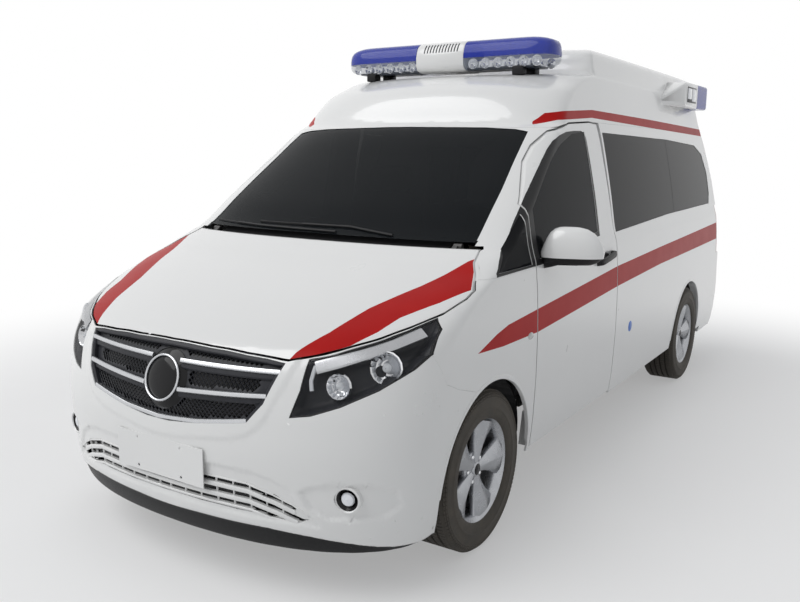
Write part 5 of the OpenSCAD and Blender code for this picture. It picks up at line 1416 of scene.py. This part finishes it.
camera_data.shift_y = MIDDLE_DOWN_PX / PHOTO_W
camera_data.clip_end = 200
bpy.context.scene.camera = camera
print("lens", round(camera_data.lens, 2), "eye", tuple(EYE))

# %% Floor: pale near the van, where its shadow falls, and running out into the white of the backdrop
FLOOR = finish("pale floor", (0.84, 0.84, 0.84), 0.8, (0.82, 0.82, 0.82), scale=1)
FLOOR_HALF, FLOOR_NEAR, FLOOR_FAR, FLOOR_GLOW = 60, 2.6, 5.5, 0.35


def seen_ray(tree):
    """A socket that is 1 for rays from the camera, and for those that gloss or glass sends on."""
    ray = tree.nodes.new("ShaderNodeLightPath")
    result = ray.outputs["Is Camera Ray"]
    for kind in ("Is Glossy Ray", "Is Transmission Ray"):
        either = tree.nodes.new("ShaderNodeMath")
        either.operation = "MAXIMUM"
        tree.links.new(result, either.inputs[0])
        tree.links.new(ray.outputs[kind], either.inputs[1])
        result = either.outputs[0]
    return result


floor_bm = bmesh.new()
bmesh.ops.create_grid(floor_bm, x_segments=1, y_segments=1, size=FLOOR_HALF)
floor_mesh = bpy.data.meshes.new("floor")
floor_bm.to_mesh(floor_mesh)
floor_bm.free()
fn, flink = FLOOR.node_tree.nodes, FLOOR.node_tree.links.new
spot, far = fn.new("ShaderNodeTexCoord"), fn.new("ShaderNodeVectorMath")
far.operation = "LENGTH"
fade, both = fn.new("ShaderNodeMapRange"), fn.new("ShaderNodeMath")
fade.interpolation_type = "SMOOTHSTEP"
fade.inputs["From Min"].default_value, fade.inputs["From Max"].default_value = FLOOR_NEAR, FLOOR_FAR
fade.inputs["To Min"].default_value = FLOOR_GLOW
both.operation = "MULTIPLY"
backdrop, blend = fn.new("ShaderNodeEmission"), fn.new("ShaderNodeMixShader")
backdrop.inputs["Strength"].default_value = 1.0
flink(spot.outputs["Object"], far.inputs[0])
flink(far.outputs["Value"], fade.inputs["Value"])
flink(fade.outputs["Result"], both.inputs[0])
flink(seen_ray(FLOOR.node_tree), both.inputs[1])
flink(both.outputs[0], blend.inputs["Fac"])
flink(fn["Principled BSDF"].outputs[0], blend.inputs[1])
flink(backdrop.outputs[0], blend.inputs[2])
flink(blend.outputs[0], fn["Material Output"].inputs["Surface"])
floor_mesh.materials.append(FLOOR)
floor = bpy.data.objects.new("floor", floor_mesh)
bpy.context.scene.collection.objects.link(floor)
print("floor", tuple(floor.dimensions))

# %% Sun and sky
SUN_FROM = Vector((0.75, -0.62, 1.15))
SUN_POWER, SUN_SPREAD = 1.6, math.radians(50)
SKY_COLOUR, SKY_STRENGTH = (0.93, 0.96, 1.0, 1), 0.38
sun_data = bpy.data.lights.new("soft sun", "SUN")
sun_data.energy, sun_data.angle = SUN_POWER, SUN_SPREAD
sun = bpy.data.objects.new("soft sun", sun_data)
sun.rotation_euler = (-SUN_FROM).to_track_quat("-Z", "Y").to_euler()
bpy.context.scene.collection.objects.link(sun)
world = bpy.data.worlds.new("world")
bpy.context.scene.world = world
world.use_nodes = True
world_nodes, world_link = world.node_tree.nodes, world.node_tree.links.new
sky, white = world_nodes["Background"], world_nodes.new("ShaderNodeBackground")
sky.inputs["Color"].default_value, sky.inputs["Strength"].default_value = SKY_COLOUR, SKY_STRENGTH
white.inputs["Color"].default_value, white.inputs["Strength"].default_value = (1, 1, 1, 1), 1.0
choose = world_nodes.new("ShaderNodeMixShader")
world_link(seen_ray(world.node_tree), choose.inputs["Fac"])
world_link(sky.outputs[0], choose.inputs[1])
world_link(white.outputs[0], choose.inputs[2])
world_link(choose.outputs[0], world_nodes["World Output"].inputs["Surface"])
bpy.context.scene.view_settings.view_transform = "Standard"
print("sun", SUN_POWER, "sky", SKY_STRENGTH)
